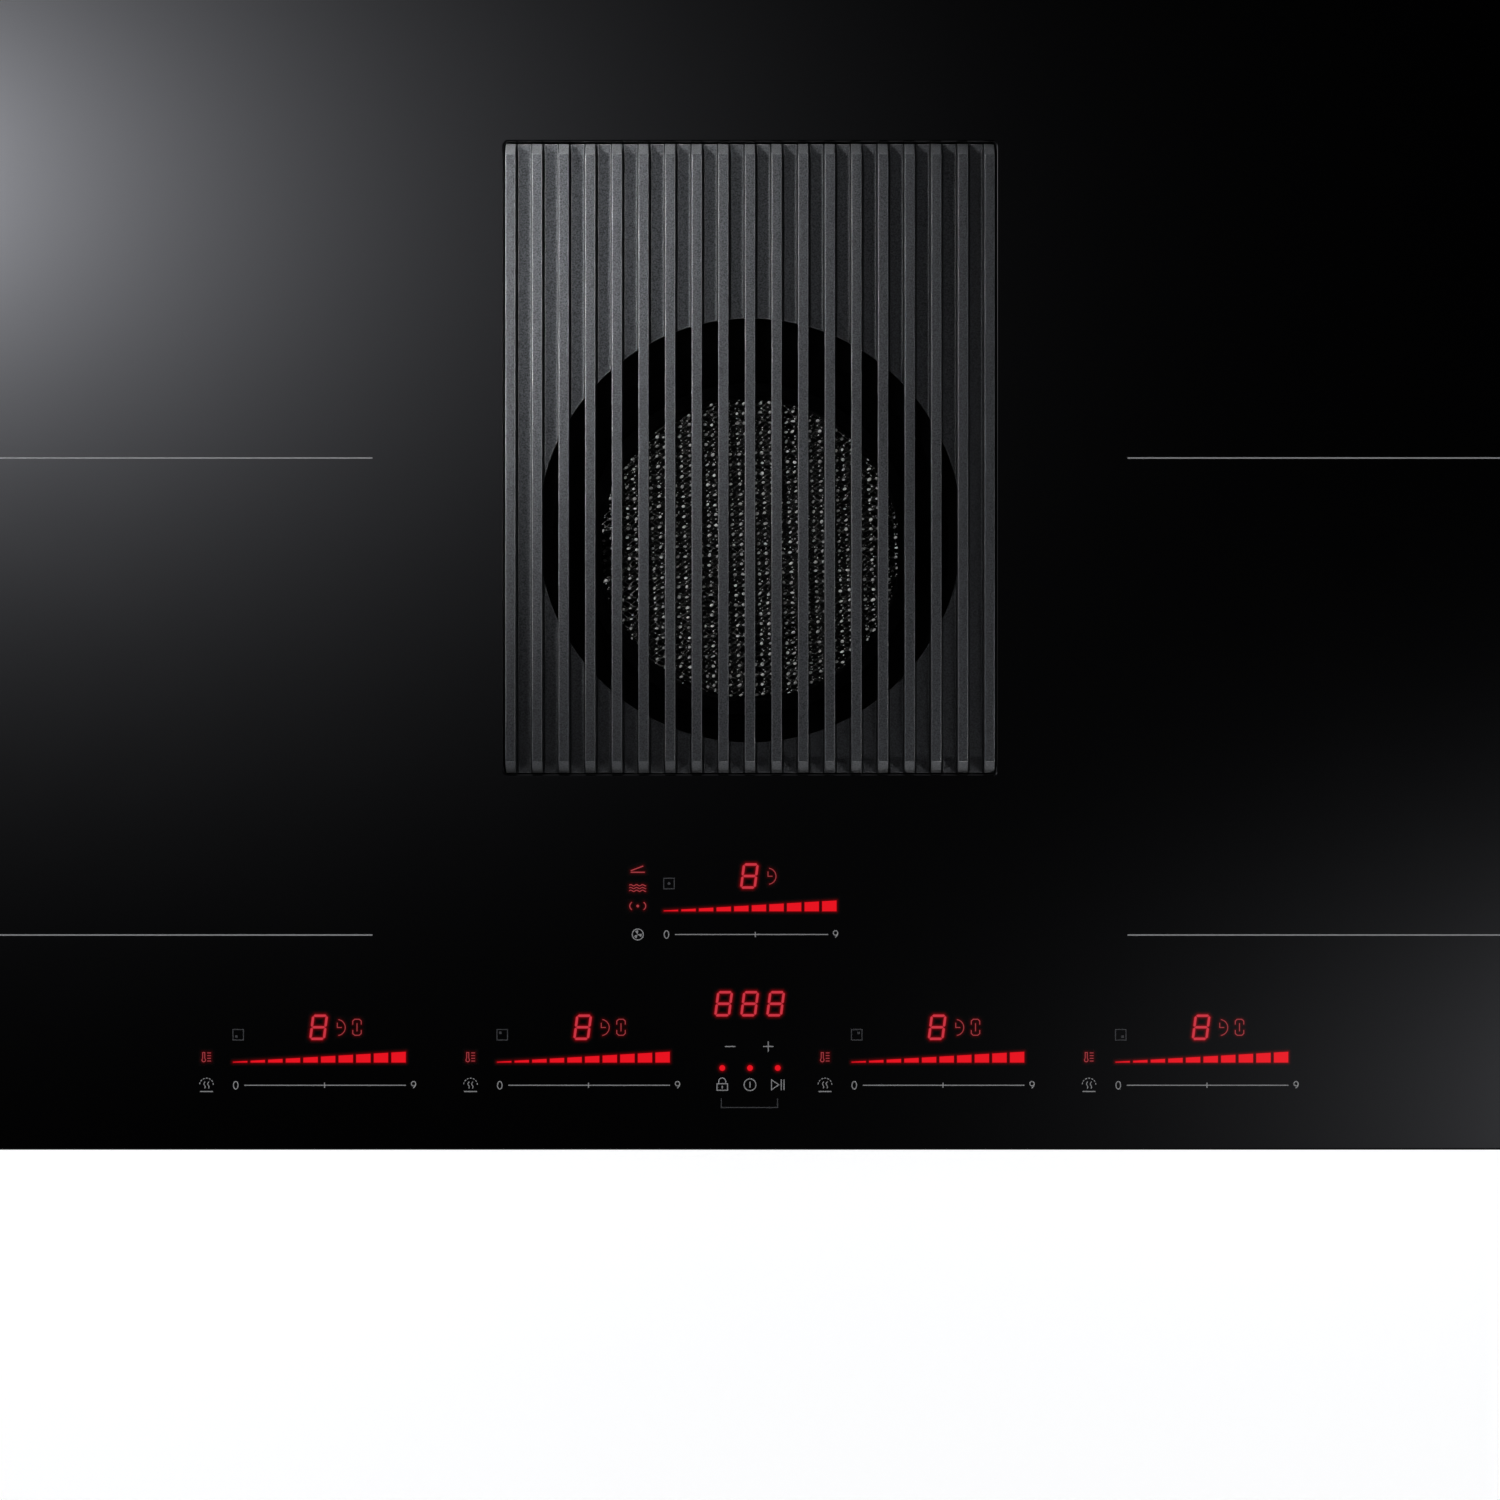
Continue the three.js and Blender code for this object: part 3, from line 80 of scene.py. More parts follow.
def sky_math(operation, *values):
    """One step of arithmetic on the direction of the sky."""
    node = sky.nodes.new("ShaderNodeMath")
    node.operation = operation
    for socket, value in zip(node.inputs, values):
        if isinstance(value, float):
            socket.default_value = value
        else:
            sky.links.new(value, socket)
    return node.outputs[0]


def glow(x, y, width, depth, turn, strength):
    """A soft spot in the sky whose light halves evenly with the distance from its middle."""
    east = sky_math("SUBTRACT", split.outputs["X"], x)
    north = sky_math("SUBTRACT", split.outputs["Y"], y)
    cosine, sine = math.cos(turn), math.sin(turn)
    along = sky_math("ADD", sky_math("MULTIPLY", east, cosine), sky_math("MULTIPLY", north, sine))
    across = sky_math("SUBTRACT", sky_math("MULTIPLY", north, cosine), sky_math("MULTIPLY", east, sine))
    along = sky_math("POWER", sky_math("ABSOLUTE", sky_math("DIVIDE", along, width)), 2.0)
    across = sky_math("POWER", sky_math("ABSOLUTE", sky_math("DIVIDE", across, depth)), 2.0)
    distance = sky_math("SQRT", sky_math("ADD", along, across))
    fade = sky_math("EXPONENT", sky_math("MULTIPLY", distance, -1.0))
    above = sky_math("GREATER_THAN", split.outputs["Z"], 0.0)
    return sky_math("MULTIPLY", sky_math("MULTIPLY", fade, strength), above)


def sky_range(value, low, high, at_low, at_high):
    """Passes smoothly from one level of light to another over a range of directions."""
    node = sky.nodes.new("ShaderNodeMapRange")
    node.interpolation_type = "SMOOTHSTEP"
    node.inputs["From Min"].default_value = low
    node.inputs["From Max"].default_value = high
    node.inputs["To Min"].default_value = at_low
    node.inputs["To Max"].default_value = at_high
    sky.links.new(value, node.inputs["Value"])
    return node.outputs["Result"]


horizon = sky_range(split.outputs["Z"], 0.25, 0.6, 0.9, 0.0)
from_left = sky_range(split.outputs["X"], -0.4, 0.7, 1.0, 0.25)
dome_light = sky_math("MULTIPLY", horizon, from_left)
rear_left_glow = glow(-0.1587, 0.0932, 0.0350, 0.0218, -0.0825, 19.6)
front_right_glow = glow(0.2036, -0.0587, 0.0333, 0.0155, 0.010, 9.4)
light = sky_math("ADD", sky_math("ADD", rear_left_glow, front_right_glow), dome_light)
background.inputs["Color"].default_value = (0.965, 0.98, 1.06, 1)
sky.links.new(light, background.inputs["Strength"])
sky.links.new(background.outputs[0], sky_output.inputs[0])
grille_only = bpy.data.collections.new("lit by the grille's lamps")
mesh_only = bpy.data.collections.new("lit by the mesh's lamps")


def softbox(name, place, aim, width, depth, watts, beam, flagged):
    """A lamp aimed at a point, its beam narrowed in degrees by a grid, with black flags
    that keep it off everything but one piece."""
    lamp = bpy.data.lights.new(name, "AREA")
    lamp.shape = "RECTANGLE"
    lamp.size = width
    lamp.size_y = depth
    lamp.energy = watts
    lamp.spread = math.radians(beam)
    made = bpy.data.objects.new(name, lamp)
    made.location = place
    made.rotation_euler = (Vector(aim) - Vector(place)).to_track_quat("-Z", "Y").to_euler()
    made.light_linking.receiver_collection = flagged
    bpy.context.collection.objects.link(made)
    return made


softbox("left_softbox", (-2.05, 0.12, 3.1), (-0.17, 0.125, 0.21), 0.12, 0.3, 0.72, 7.8, grille_only)
softbox("right_softbox", (1.3, -0.3, 1.6), (0.14, -0.16, 0.21), 0.12, 0.3, 0.14, 13, grille_only)
softbox("front_softbox", (0.35, -1.6, 1.2), (0.13, -0.13, 0.21), 0.2, 0.2, 0.085, 15, grille_only)
key_lamp = softbox("key_lamp", (-0.25, 0.15, 1.8), (-0.15, 0.13, 0.21), 0.1, 0.1, 0.38, 13.5, grille_only)
key_lamp.visible_glossy = False
softbox("mesh_lamp", (-0.5, 0.35, 2.2), (0, -0.01, 0.16), 0.06, 0.06, 0.22, 16, mesh_only)
softbox("mesh_lamp_right", (0.55, -0.3, 2.1), (0, -0.01, 0.16), 0.06, 0.06, 0.05, 16, mesh_only)

# ---------------------------------------------------------------- floor
# A plain white sheet, on which the extractor's housing stands. It gives some light of its
# own, so that it stays white under the dark sky.
FLOOR_HALF = 9
FLOOR_GAP = 0.4 * MM
bm = bmesh.new()
bmesh.ops.create_grid(bm, x_segments=1, y_segments=1, size=FLOOR_HALF)
bmesh.ops.translate(bm, vec=(0, 0, -FLOOR_GAP), verts=bm.verts)
floor_mesh = bpy.data.meshes.new("floor")
bm.to_mesh(floor_mesh)
bm.free()
floor = bpy.data.objects.new("floor", floor_mesh)
bpy.context.collection.objects.link(floor)
white_paper = bpy.data.materials.new("white_paper")
white_paper.use_nodes = True
paper_shader = white_paper.node_tree.nodes["Principled BSDF"]
paper_shader.inputs["Base Color"].default_value = (0.88, 0.88, 0.88, 1)
paper_shader.inputs["Roughness"].default_value = 0.9
paper_shader.inputs["Emission Color"].default_value = (1, 1, 1, 1)
paper_shader.inputs["Emission Strength"].default_value = 0.86
floor_mesh.materials.append(white_paper)

# ---------------------------------------------------------------- black glass
# One sheet of opaque black glass-ceramic, 4 mm thick, with a window for the grille. Its
# edges are ground round, which draws a thin line of light along the front.
glass_low, glass_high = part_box("glass_top")
grille_low, grille_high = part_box("grille")
GLASS_CORNER = 8 * MM
WINDOW_CORNER = 1.5 * MM
WINDOW_GAP = 0.5 * MM
GROUND_EDGE = 0.8 * MM
MOTTLE_PER_GRAIN = 1.4
PLAIN_MOTTLE = 15  # mm across, on a finish without grain
SMEAR = 40  # mm across


def surface(
    name,
    color,
    roughness,
    metallic=0.0,
    grain=0.0,
    height=0.0,
    mottle=0.0,
    wear=0.0,
    along=(1, 1, 1),
    specular=0.5,
):
    """A finish with grain bumps, a colour that wanders by the share mottle, and a sheen
    that wanders by the share wear. Grain and height are in mm, and along stretches them."""
    material = bpy.data.materials.new(name)
    material.use_nodes = True
    tree = material.node_tree
    shader = tree.nodes["Principled BSDF"]
    shader.inputs["Base Color"].default_value = (*color, 1)
    shader.inputs["Roughness"].default_value = roughness
    shader.inputs["Metallic"].default_value = metallic
    shader.inputs["Specular IOR Level"].default_value = specular
    place = tree.nodes.new("ShaderNodeTexCoord")
    stretch = tree.nodes.new("ShaderNodeMapping")
    stretch.inputs["Scale"].default_value = along
    tree.links.new(place.outputs["Object"], stretch.inputs["Vector"])

    def wander(size, detail, low, high):
        cloud = tree.nodes.new("ShaderNodeTexNoise")
        cloud.inputs["Scale"].default_value = 1 / (size * MM)
        cloud.inputs["Detail"].default_value = detail
        tree.links.new(stretch.outputs[0], cloud.inputs["Vector"])
        spread = tree.nodes.new("ShaderNodeMapRange")
        spread.inputs["From Min"].default_value = 0.3
        spread.inputs["From Max"].default_value = 0.7
        spread.inputs["To Min"].default_value = low
        spread.inputs["To Max"].default_value = high
        tree.links.new(cloud.outputs["Fac"], spread.inputs["Value"])
        return spread.outputs["Result"]

    if height:
        bump = tree.nodes.new("ShaderNodeBump")
        bump.inputs["Distance"].default_value = height * MM
        tree.links.new(wander(grain, 3, 0, 1), bump.inputs["Height"])
        tree.links.new(bump.outputs[0], shader.inputs["Normal"])
    if mottle:
        tint = tree.nodes.new("ShaderNodeMix")
        tint.data_type = "RGBA"
        tint.blend_type = "MULTIPLY"
        tint.inputs["Factor"].default_value = 1
        tint.inputs["A"].default_value = (*color, 1)
        blotch = grain * MOTTLE_PER_GRAIN or PLAIN_MOTTLE
        tree.links.new(wander(blotch, 2, 1 - mottle, 1 + mottle), tint.inputs["B"])
        tree.links.new(tint.outputs["Result"], shader.inputs["Base Color"])
    if wear:
        smears = wander(SMEAR, 4, roughness * (1 - wear), roughness * (1 + wear))
        tree.links.new(smears, shader.inputs["Roughness"])
    return material


def shown(name, bm, material, sharp=35):
    """Makes a bmesh a visible piece, smooth across edges under the sharp angle."""
    mesh = bpy.data.meshes.new(name)
    bm.to_mesh(mesh)
    bm.free()
    mesh.shade_smooth()
    mesh.set_sharp_from_angle(angle=math.radians(sharp))
    mesh.materials.append(material)
    made = bpy.data.objects.new(name, mesh)
    bpy.context.collection.objects.link(made)
    flats = made.modifiers.new("flat faces stay flat", "WEIGHTED_NORMAL")
    flats.keep_sharp = True
    flats.weight = 100
    return made


def rounded_outline(bm, low, high, radius, z, segments=8):
    """The edges of a rectangle with rounded corners, at one height."""
    corners = bmesh.ops.create_grid(bm, x_segments=1, y_segments=1, size=0.5)["verts"]
    bmesh.ops.scale(bm, vec=(high[0] - low[0], high[1] - low[1], 1), verts=corners)
    bmesh.ops.translate(bm, vec=((low[0] + high[0]) / 2, (low[1] + high[1]) / 2, z), verts=corners)
    bmesh.ops.bevel(
        bm, geom=corners, offset=radius, segments=segments, profile=0.5, affect="VERTICES", material=-1
    )
    (face,) = bm.faces
    edges = list(face.edges)
    bmesh.ops.delete(bm, geom=[face], context="FACES_ONLY")
    return edges


def raise_sheet(bm, edges, thickness):
    """Fills between outlines and thickens the sheet downwards."""
    filled = bmesh.ops.triangle_fill(bm, edges=edges, use_beauty=True)
    faces = [item for item in filled["geom"] if isinstance(item, bmesh.types.BMFace)]
    copied = bmesh.ops.extrude_face_region(bm, geom=faces, use_keep_orig=True)
    lowered = [item for item in copied["geom"] if isinstance(item, bmesh.types.BMVert)]
    bmesh.ops.translate(bm, vec=(0, 0, -thickness), verts=lowered)
    bmesh.ops.recalc_face_normals(bm, faces=bm.faces)


def ease(bm, radius, segments=3, angle=40, only=None):
    """Rounds the edges whose faces meet at more than the angle."""
    least = math.radians(angle)
    sharp = [edge for edge in bm.edges if edge.is_manifold and edge.calc_face_angle() > least]
    if only:
        sharp = [edge for edge in sharp if only(edge)]
    bmesh.ops.bevel(
        bm,
        geom=sharp,
        offset=radius,
        segments=segments,
        profile=0.5,
        affect="EDGES",
        material=-1,
        clamp_overlap=False,
    )


bm = bmesh.new()
outline = rounded_outline(bm, glass_low, glass_high, GLASS_CORNER, glass_high.z, 10)
window_low = (grille_low.x - WINDOW_GAP, grille_low.y - WINDOW_GAP)
window_high = (grille_high.x + WINDOW_GAP, grille_high.y + WINDOW_GAP)
outline += rounded_outline(bm, window_low, window_high, WINDOW_CORNER, glass_high.z, 4)
raise_sheet(bm, outline, glass_high.z - glass_low.z)
ease(bm, GROUND_EDGE, 5)
black_glass = surface("black_glass", (0.0003, 0.0003, 0.00035), 0.04, wear=0.3)
glass = shown("glass_plate", bm, black_glass, sharp=60)
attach(glass, "cooktop")
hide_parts("glass_top")

# ---------------------------------------------------------------- printed marks
# Thin grey marks of ceramic ink, fired on the glass: the edges between the cooking zones,
# a touch slider for each zone and one for the extractor, and the main keys.
INK_Z = glass_high.z + 0.05 * MM
# places and sizes of the marks and of the lit shapes are in mm
ZONE_LINES_Y = (-171.5, 19.3, 210.1)
ZONE_LINE_FROM = 151
ZONE_LINE_TO = 360
SLIDER_Y = -222.5  # the base of the lit bars of a zone's slider
SLIDERS = ((-206.8, -1, -1), (-101.2, -1, 1), (40.6, 1, 1), (146.2, 1, -1))  # X, and where its zone lies
EXTRACTOR_SLIDER = (-34.5, -162)
SLIDER_LENGTH = 64.8
SQUARE_SIDE = 4.2
ABOVE_SLIDER = 9.0  # from its base up to the small square and the figure
SQUARE_DOT = ((-0.5, -0.5), (0.5, -0.5), (0.5, 0.5), (-0.5, 0.5))
DIAMOND_DOT = ((-0.7, 0), (0, -0.7), (0.7, 0), (0, 0.7))
DOT_SHIFT = 0.75
FINE = 0.4  # widths of the marks
BROAD = 0.55


def ribbon(bm, points, width, closed=False, z=INK_Z):
    """A flat stripe along points in mm on the glass, mitred at its bends."""
    path = [Vector(point) for point in points]
    half = width / 2
    count = len(path)
    rims = ([], [])
    for i, here in enumerate(path):
        before = path[i - 1] if i or closed else None
        after = path[(i + 1) % count] if i + 1 < count or closed else None
        arriving = (here - before).normalized() if before is not None else None
        leaving = (after - here).normalized() if after is not None else None
        arriving, leaving = arriving or leaving, leaving or arriving
        tangent = (arriving + leaving).normalized()
        normal = Vector((-tangent.y, tangent.x))
        spread = half / max(0.5, normal.dot(Vector((-arriving.y, arriving.x))))
        for rim, side in zip(rims, (1, -1)):
            rim.append(bm.verts.new((*((here + side * spread * normal) * MM), z)))
    for i in range(count if closed else count - 1):
        j = (i + 1) % count
        bm.faces.new((rims[1][i], rims[1][j], rims[0][j], rims[0][i]))


def patch(bm, points, z=INK_Z):
    """A flat filled shape with its corners in mm, counterclockwise."""
    bm.faces.new([bm.verts.new((x * MM, y * MM, z)) for x, y in points])


def arc(x, y, radius, start, end, steps, tall=1.0):
    """Points round a circle, with angles in degrees from the right, counterclockwise."""
    angles = [math.radians(start + (end - start) * i / steps) for i in range(steps + 1)]
    return [(x + radius * math.cos(angle), y + tall * radius * math.sin(angle)) for angle in angles]


def ring(x, y, radius, steps, tall=1.0):
    """Points round a whole circle, each once."""
    return arc(x, y, radius, 0, 360, steps, tall)[:-1]


ink = bmesh.new()
dim_ink = bmesh.new()
for y in ZONE_LINES_Y:
    for side in (-1, 1):
        ribbon(ink, [(side * ZONE_LINE_FROM, y), (side * ZONE_LINE_TO, y)], BROAD)


def slider_scale(x, y, length):
    """The rail under a slider, from 0 to 9, with a tick at its middle."""
    ribbon(ink, ring(x + 1.1, y, 0.92, 28, 1.65), FINE, closed=True)
    ribbon(ink, [(x + 4.5, y), (x + length, y)], FINE)
    ribbon(ink, [(x + 36.6, y - 1.05), (x + 36.6, y + 1.05)], FINE)
    nine_x, nine_y = x + length + 3.0, y + 0.62
    ribbon(ink, ring(nine_x, nine_y, 0.88, 24), FINE, closed=True)
    ribbon(ink, arc(nine_x - 1.12, nine_y, 2.0, 2, -62, 10), FINE)


def dotted_square(x, y, dot, right=0.0, up=0.0):
    """A small square with a filled dot, which lies off its middle by two shifts."""
    far_x, far_y = x + SQUARE_SIDE, y + SQUARE_SIDE
    ribbon(dim_ink, [(x, y), (far_x, y), (far_x, far_y), (x, far_y)], FINE, closed=True)
    dot_x, dot_y = x + SQUARE_SIDE / 2 + right, y + SQUARE_SIDE / 2 + up
    patch(dim_ink, [(dot_x + dx, dot_y + dy) for dx, dy in dot])


def keep_warm_sign(x, y):
    """Two waves of steam over a hob, under a dashed cover."""
    for start in range(2, 180, 26):
        ribbon(ink, arc(x, y, 2.75, start, start + 16, 4), 0.36)
    ribbon(ink, [(x - 2.6, y - 2.6), (x + 2.6, y - 2.6)], 0.45)
    for side in (-0.75, 0.75):
        wave = [(x + side + 0.3 * math.sin(step * 0.9), y - 1.35 + step * 0.34) for step in range(9)]
        ribbon(ink, wave, 0.34)


for x, side, end in SLIDERS:
    slider_scale(x, SLIDER_Y - 9.1, SLIDER_LENGTH + 4.4)
    keep_warm_sign(x - 10.6, SLIDER_Y - 9.0)
    dotted_square(x, SLIDER_Y + ABOVE_SLIDER, SQUARE_DOT, side * DOT_SHIFT, end * DOT_SHIFT)
x, y = EXTRACTOR_SLIDER
slider_scale(x, y - 9.3, SLIDER_LENGTH + 0.9)
dotted_square(x, y + ABOVE_SLIDER, DIAMOND_DOT)
# a three-bladed fan in a ring
fan_x, fan_y = x - 10.4, y - 9.3
ribbon(ink, ring(fan_x, fan_y, 2.2, 32), FINE, closed=True)
for turn in (90, 210, 330):
    patch(ink, [(fan_x, fan_y), *arc(fan_x, fan_y, 1.6, turn - 8, turn + 42, 3)])
# minus and plus of the timer, over the lock, the mains key and the pause key
KEYS_Y = -231.4
TIMER_Y = -216.1
PLUS_X = 7.3
LOCK_X = -11.1
ribbon(ink, [(-10, TIMER_Y), (-5.8, TIMER_Y)], FINE)
ribbon(ink, [(PLUS_X - 2.05, TIMER_Y), (PLUS_X + 2.05, TIMER_Y)], FINE)
ribbon(ink, [(PLUS_X, TIMER_Y - 2.05), (PLUS_X, TIMER_Y - 0.2)], FINE)
ribbon(ink, [(PLUS_X, TIMER_Y + 0.2), (PLUS_X, TIMER_Y + 2.05)], FINE)
left, right, top, bottom = LOCK_X - 2.1, LOCK_X + 2.1, KEYS_Y + 0.4, KEYS_Y - 2.2
ribbon(ink, [(left, top), (right, top), (right, bottom), (left, bottom)], FINE, closed=True)
shackle = arc(LOCK_X, KEYS_Y + 1.3, 1.4, 180, 0, 12)
ribbon(ink, [(LOCK_X - 1.4, KEYS_Y + 0.6), *shackle, (LOCK_X + 1.4, KEYS_Y + 0.6)], FINE)
ribbon(ink, [(LOCK_X, KEYS_Y - 0.4), (LOCK_X, KEYS_Y - 1.5)], 0.5)
ribbon(ink, ring(0, KEYS_Y, 2.35, 36), FINE, closed=True)
ribbon(ink, [(0, KEYS_Y - 1.2), (0, KEYS_Y + 1.2)], 0.45)
ribbon(ink, [(8.6, KEYS_Y + 2), (11.5, KEYS_Y), (8.6, KEYS_Y - 2)], FINE, closed=True)
for bar_x in (12.5, 13.6):
    ribbon(ink, [(bar_x, KEYS_Y + 2.15), (bar_x, KEYS_Y - 2.15)], FINE)
ribbon(dim_ink, [(-11.5, -236.8), (-11.5, -240.5), (11, -240.5), (11, -236.8)], FINE)

fired_ink = surface("fired_ink", (0.7, 0.7, 0.69), 0.15, grain=0.3, mottle=0.1)
dark_ink = surface("fired_ink_dark", (0.22, 0.22, 0.222), 0.15, grain=0.3, mottle=0.1)
# the light ink also glows faintly though it is no lamp: painted light that keeps it bright
ink_painted_glow = fired_ink.node_tree.nodes["Principled BSDF"]
ink_painted_glow.inputs["Emission Color"].default_value = (1, 1, 1, 1)
ink_painted_glow.inputs["Emission Strength"].default_value = 0.08
for name, marks, material in (("printed_marks", ink, fired_ink), ("printed_marks_dark", dim_ink, dark_ink)):
    piece = shown(name, marks, material)
    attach(piece, "cooktop")

# ---------------------------------------------------------------- lit displays
# Red lamps on the control board shine through the glass: figures of seven bars, rising
# bars over each slider, small signs and dots. Each has a halo where its light spreads.
DIGIT_HEIGHT = 10.2
DIGIT_WIDTH = 6.4
DIGIT_LEAN = 1.3
DIGIT_BAR = 0.98
DIGIT_SLIT = 0.12
BAR_COUNT = 10
BAR_PITCH = 7.04
BAR_WIDTH = 5.74
lit = bmesh.new()
lit_bars = bmesh.new()
lit_signs = bmesh.new()


def figure_eight(x, y):
    """Seven six-cornered bars that lean to the right, from the lower left corner."""
    half = DIGIT_BAR / 2

    def leaned(points):
        patch(lit, [(x + px + DIGIT_LEAN * py / DIGIT_HEIGHT, y + py) for px, py in points])

    for level in (half, DIGIT_HEIGHT / 2, DIGIT_HEIGHT - half):
        start, end = half + DIGIT_SLIT, DIGIT_WIDTH - half - DIGIT_SLIT
        lower = [(start, level), (start + half, level - half), (end - half, level - half)]
        leaned(lower + [(end, level), (end - half, level + half), (start + half, level + half)])
    for side in (half, DIGIT_WIDTH - half):
        for foot in (half, DIGIT_HEIGHT / 2):
            start, end = foot + DIGIT_SLIT, foot + DIGIT_HEIGHT / 2 - half - DIGIT_SLIT
            right = [(side, start), (side + half, start + half), (side + half, end - half)]
            leaned(right + [(side, end), (side - half, end - half), (side - half, start + half)])


def half_clock(x, y):
    """The right half of a clock's rim, with its hands."""
    ribbon(lit_signs, arc(x, y, 3.2, -82, 82, 18), 0.28)
    ribbon(lit_signs, [(x, y + 1.9), (x, y), (x + 1.8, y)], 0.28)


def rising_bars(x, y):
    """Ten bars under one rising line."""
    for index in range(BAR_COUNT):
        left, right = index * BAR_PITCH, index * BAR_PITCH + BAR_WIDTH
        tops = [0.3 + 4.0 * edge / ((BAR_COUNT - 1) * BAR_PITCH + BAR_WIDTH) for edge in (left, right)]
        patch(lit_bars, [(x + left, y), (x + right, y), (x + right, y + tops[1]), (x + left, y + tops[0])])


def bridge_sign(x, y):
    """Two open boxes and a bar: two zones that work as one."""
    for end in (-1, 1):
        near, far = y + end * 1.1, y + end * 3.2
        bow = [(x - 1.7, near), (x - 1.7, far - end * 0.7), (x - 0.9, far), (x + 0.9, far)]
        ribbon(lit_signs, bow + [(x + 1.7, far - end * 0.7), (x + 1.7, near)], 0.3)
    ribbon(lit_signs, [(x, y - 1.6), (x, y + 1.6)], 0.3)


def heat_sign(x, y):
    """A thermometer with four lines of its scale."""
    ribbon(lit_signs, arc(x, y - 1.2, 0.72, 130, 410, 12), 0.3)
    left, right, foot, top = x - 0.42, x + 0.42, y - 0.6, y + 1.8
    ribbon(lit_signs, [(left, foot), (left, top), (right, top), (right, foot)], 0.28)
    for row in range(4):
        ribbon(lit_signs, [(x + 1.4, y - 1.6 + row * 1.08), (x + 2.9, y - 1.6 + row * 1.08)], 0.3)


for x, side, end in SLIDERS:
    figure_eight(x + 30.4, SLIDER_Y + ABOVE_SLIDER)
    half_clock(x + 41.7, SLIDER_Y + 14.0)
    bridge_sign(x + 49.6, SLIDER_Y + 14.1)
    rising_bars(x, SLIDER_Y)
    heat_sign(x - 11.7, SLIDER_Y + 2.2)
x, y = EXTRACTOR_SLIDER
figure_eight(x + 30.4, y + ABOVE_SLIDER)
half_clock(x + 41.7, y + 14.0)
rising_bars(x, y)
# a raised flap, a sieve, and a spot that is held
SIGN_X = -44.9
FLAP_Y = -146.4
SIEVE_Y = -151.6
SPOT_Y = -159.9
ribbon(lit_signs, [(SIGN_X - 2.8, FLAP_Y), (SIGN_X + 2.8, FLAP_Y)], FINE)
ribbon(lit_signs, [(SIGN_X - 2.8, FLAP_Y + 0.6), (SIGN_X + 2.2, FLAP_Y + 2.5)], FINE)
for row in range(3):
    row_y = SIEVE_Y - row * 1.1
    wave = [(SIGN_X - 3.4 + step * 0.45, row_y + 0.28 * math.sin(step * 1.2)) for step in range(16)]
    ribbon(lit_signs, wave, 0.32)
for side in (-1, 1):
    ribbon(lit_signs, arc(SIGN_X + side * 1.5, SPOT_Y, 1.7, 90 - side * 150, 90 - side * 30, 10), 0.36)
patch(lit_signs, ring(SIGN_X, SPOT_Y, 0.55, 14))
# the three figures of the timer, and a lamp over each key
FIGURES_Y = -204.1
KEY_LAMPS_Y = -224.7
for x in (-14.4, -4.0, 6.4):
    figure_eight(x, FIGURES_Y)
for x in (LOCK_X, 0, -LOCK_X):
    patch(lit_bars, ring(x, KEY_LAMPS_Y, 1.15, 24))

# The halo is the glass itself, on fine squares near each lit shape. Every corner holds
# how near the light is, and the red fades with it.
HALO_REACH = 1.6 * MM
HALO_CELL = 0.4 * MM
HALO_FADE = 0.42 * MM
HALO_RED = (1.0, 0.0, 0.012)
HALO_Z = glass_high.z + 0.02 * MM
LIT_STEP = 0.3 * MM  # between the points round a lit shape
lit_points = []
for marks, weight in ((lit, 1.0), (lit_bars, 0.8), (lit_signs, 0.25)):
    for face in marks.faces:
        corners = [vert.co.copy() for vert in face.verts]
        for first, second in zip(corners, corners[1:] + corners[:1]):
            steps = max(1, int((second - first).length / LIT_STEP))
            lit_points += [(first.lerp(second, step / steps), weight) for step in range(steps)]
        lit_points.append((face.calc_center_median(), weight))
nearby = KDTree(len(lit_points))
for index, (point, _) in enumerate(lit_points):
    nearby.insert(point, index)
nearby.balance()
wanted = set()
for point, _ in lit_points:
    column, row = round(point.x / HALO_CELL), round(point.y / HALO_CELL)
    reach = int(HALO_REACH / HALO_CELL)
    wanted |= {(column + dx, row + dy) for dx in range(-reach, reach) for dy in range(-reach, reach)}
halo = bmesh.new()
strength = halo.verts.layers.float_color.new("halo")
corners = {}
for column, row in sorted(wanted):
    square = []
    for dx, dy in ((0, 0), (1, 0), (1, 1), (0, 1)):
        key = (column + dx, row + dy)
        if key not in corners:
            corners[key] = halo.verts.new((key[0] * HALO_CELL, key[1] * HALO_CELL, HALO_Z))
            _, index, distance = nearby.find(corners[key].co)
            fade = lit_points[index][1] * math.exp(-distance / HALO_FADE)
            fade *= max(0.0, 1 - distance / HALO_REACH)
            corners[key][strength] = (fade, fade, fade, 1)
        square.append(corners[key])
    halo.faces.new(square)


def lamp_red(name, color, strength):
    """Glass with red light coming through it."""
    material = surface(name, (0.001, 0.0003, 0.0003), 0.08, wear=0.2)
    shader = material.node_tree.nodes["Principled BSDF"]
    shader.inputs["Emission Color"].default_value = (*color, 1)
    shader.inputs["Emission Strength"].default_value = strength
    return material


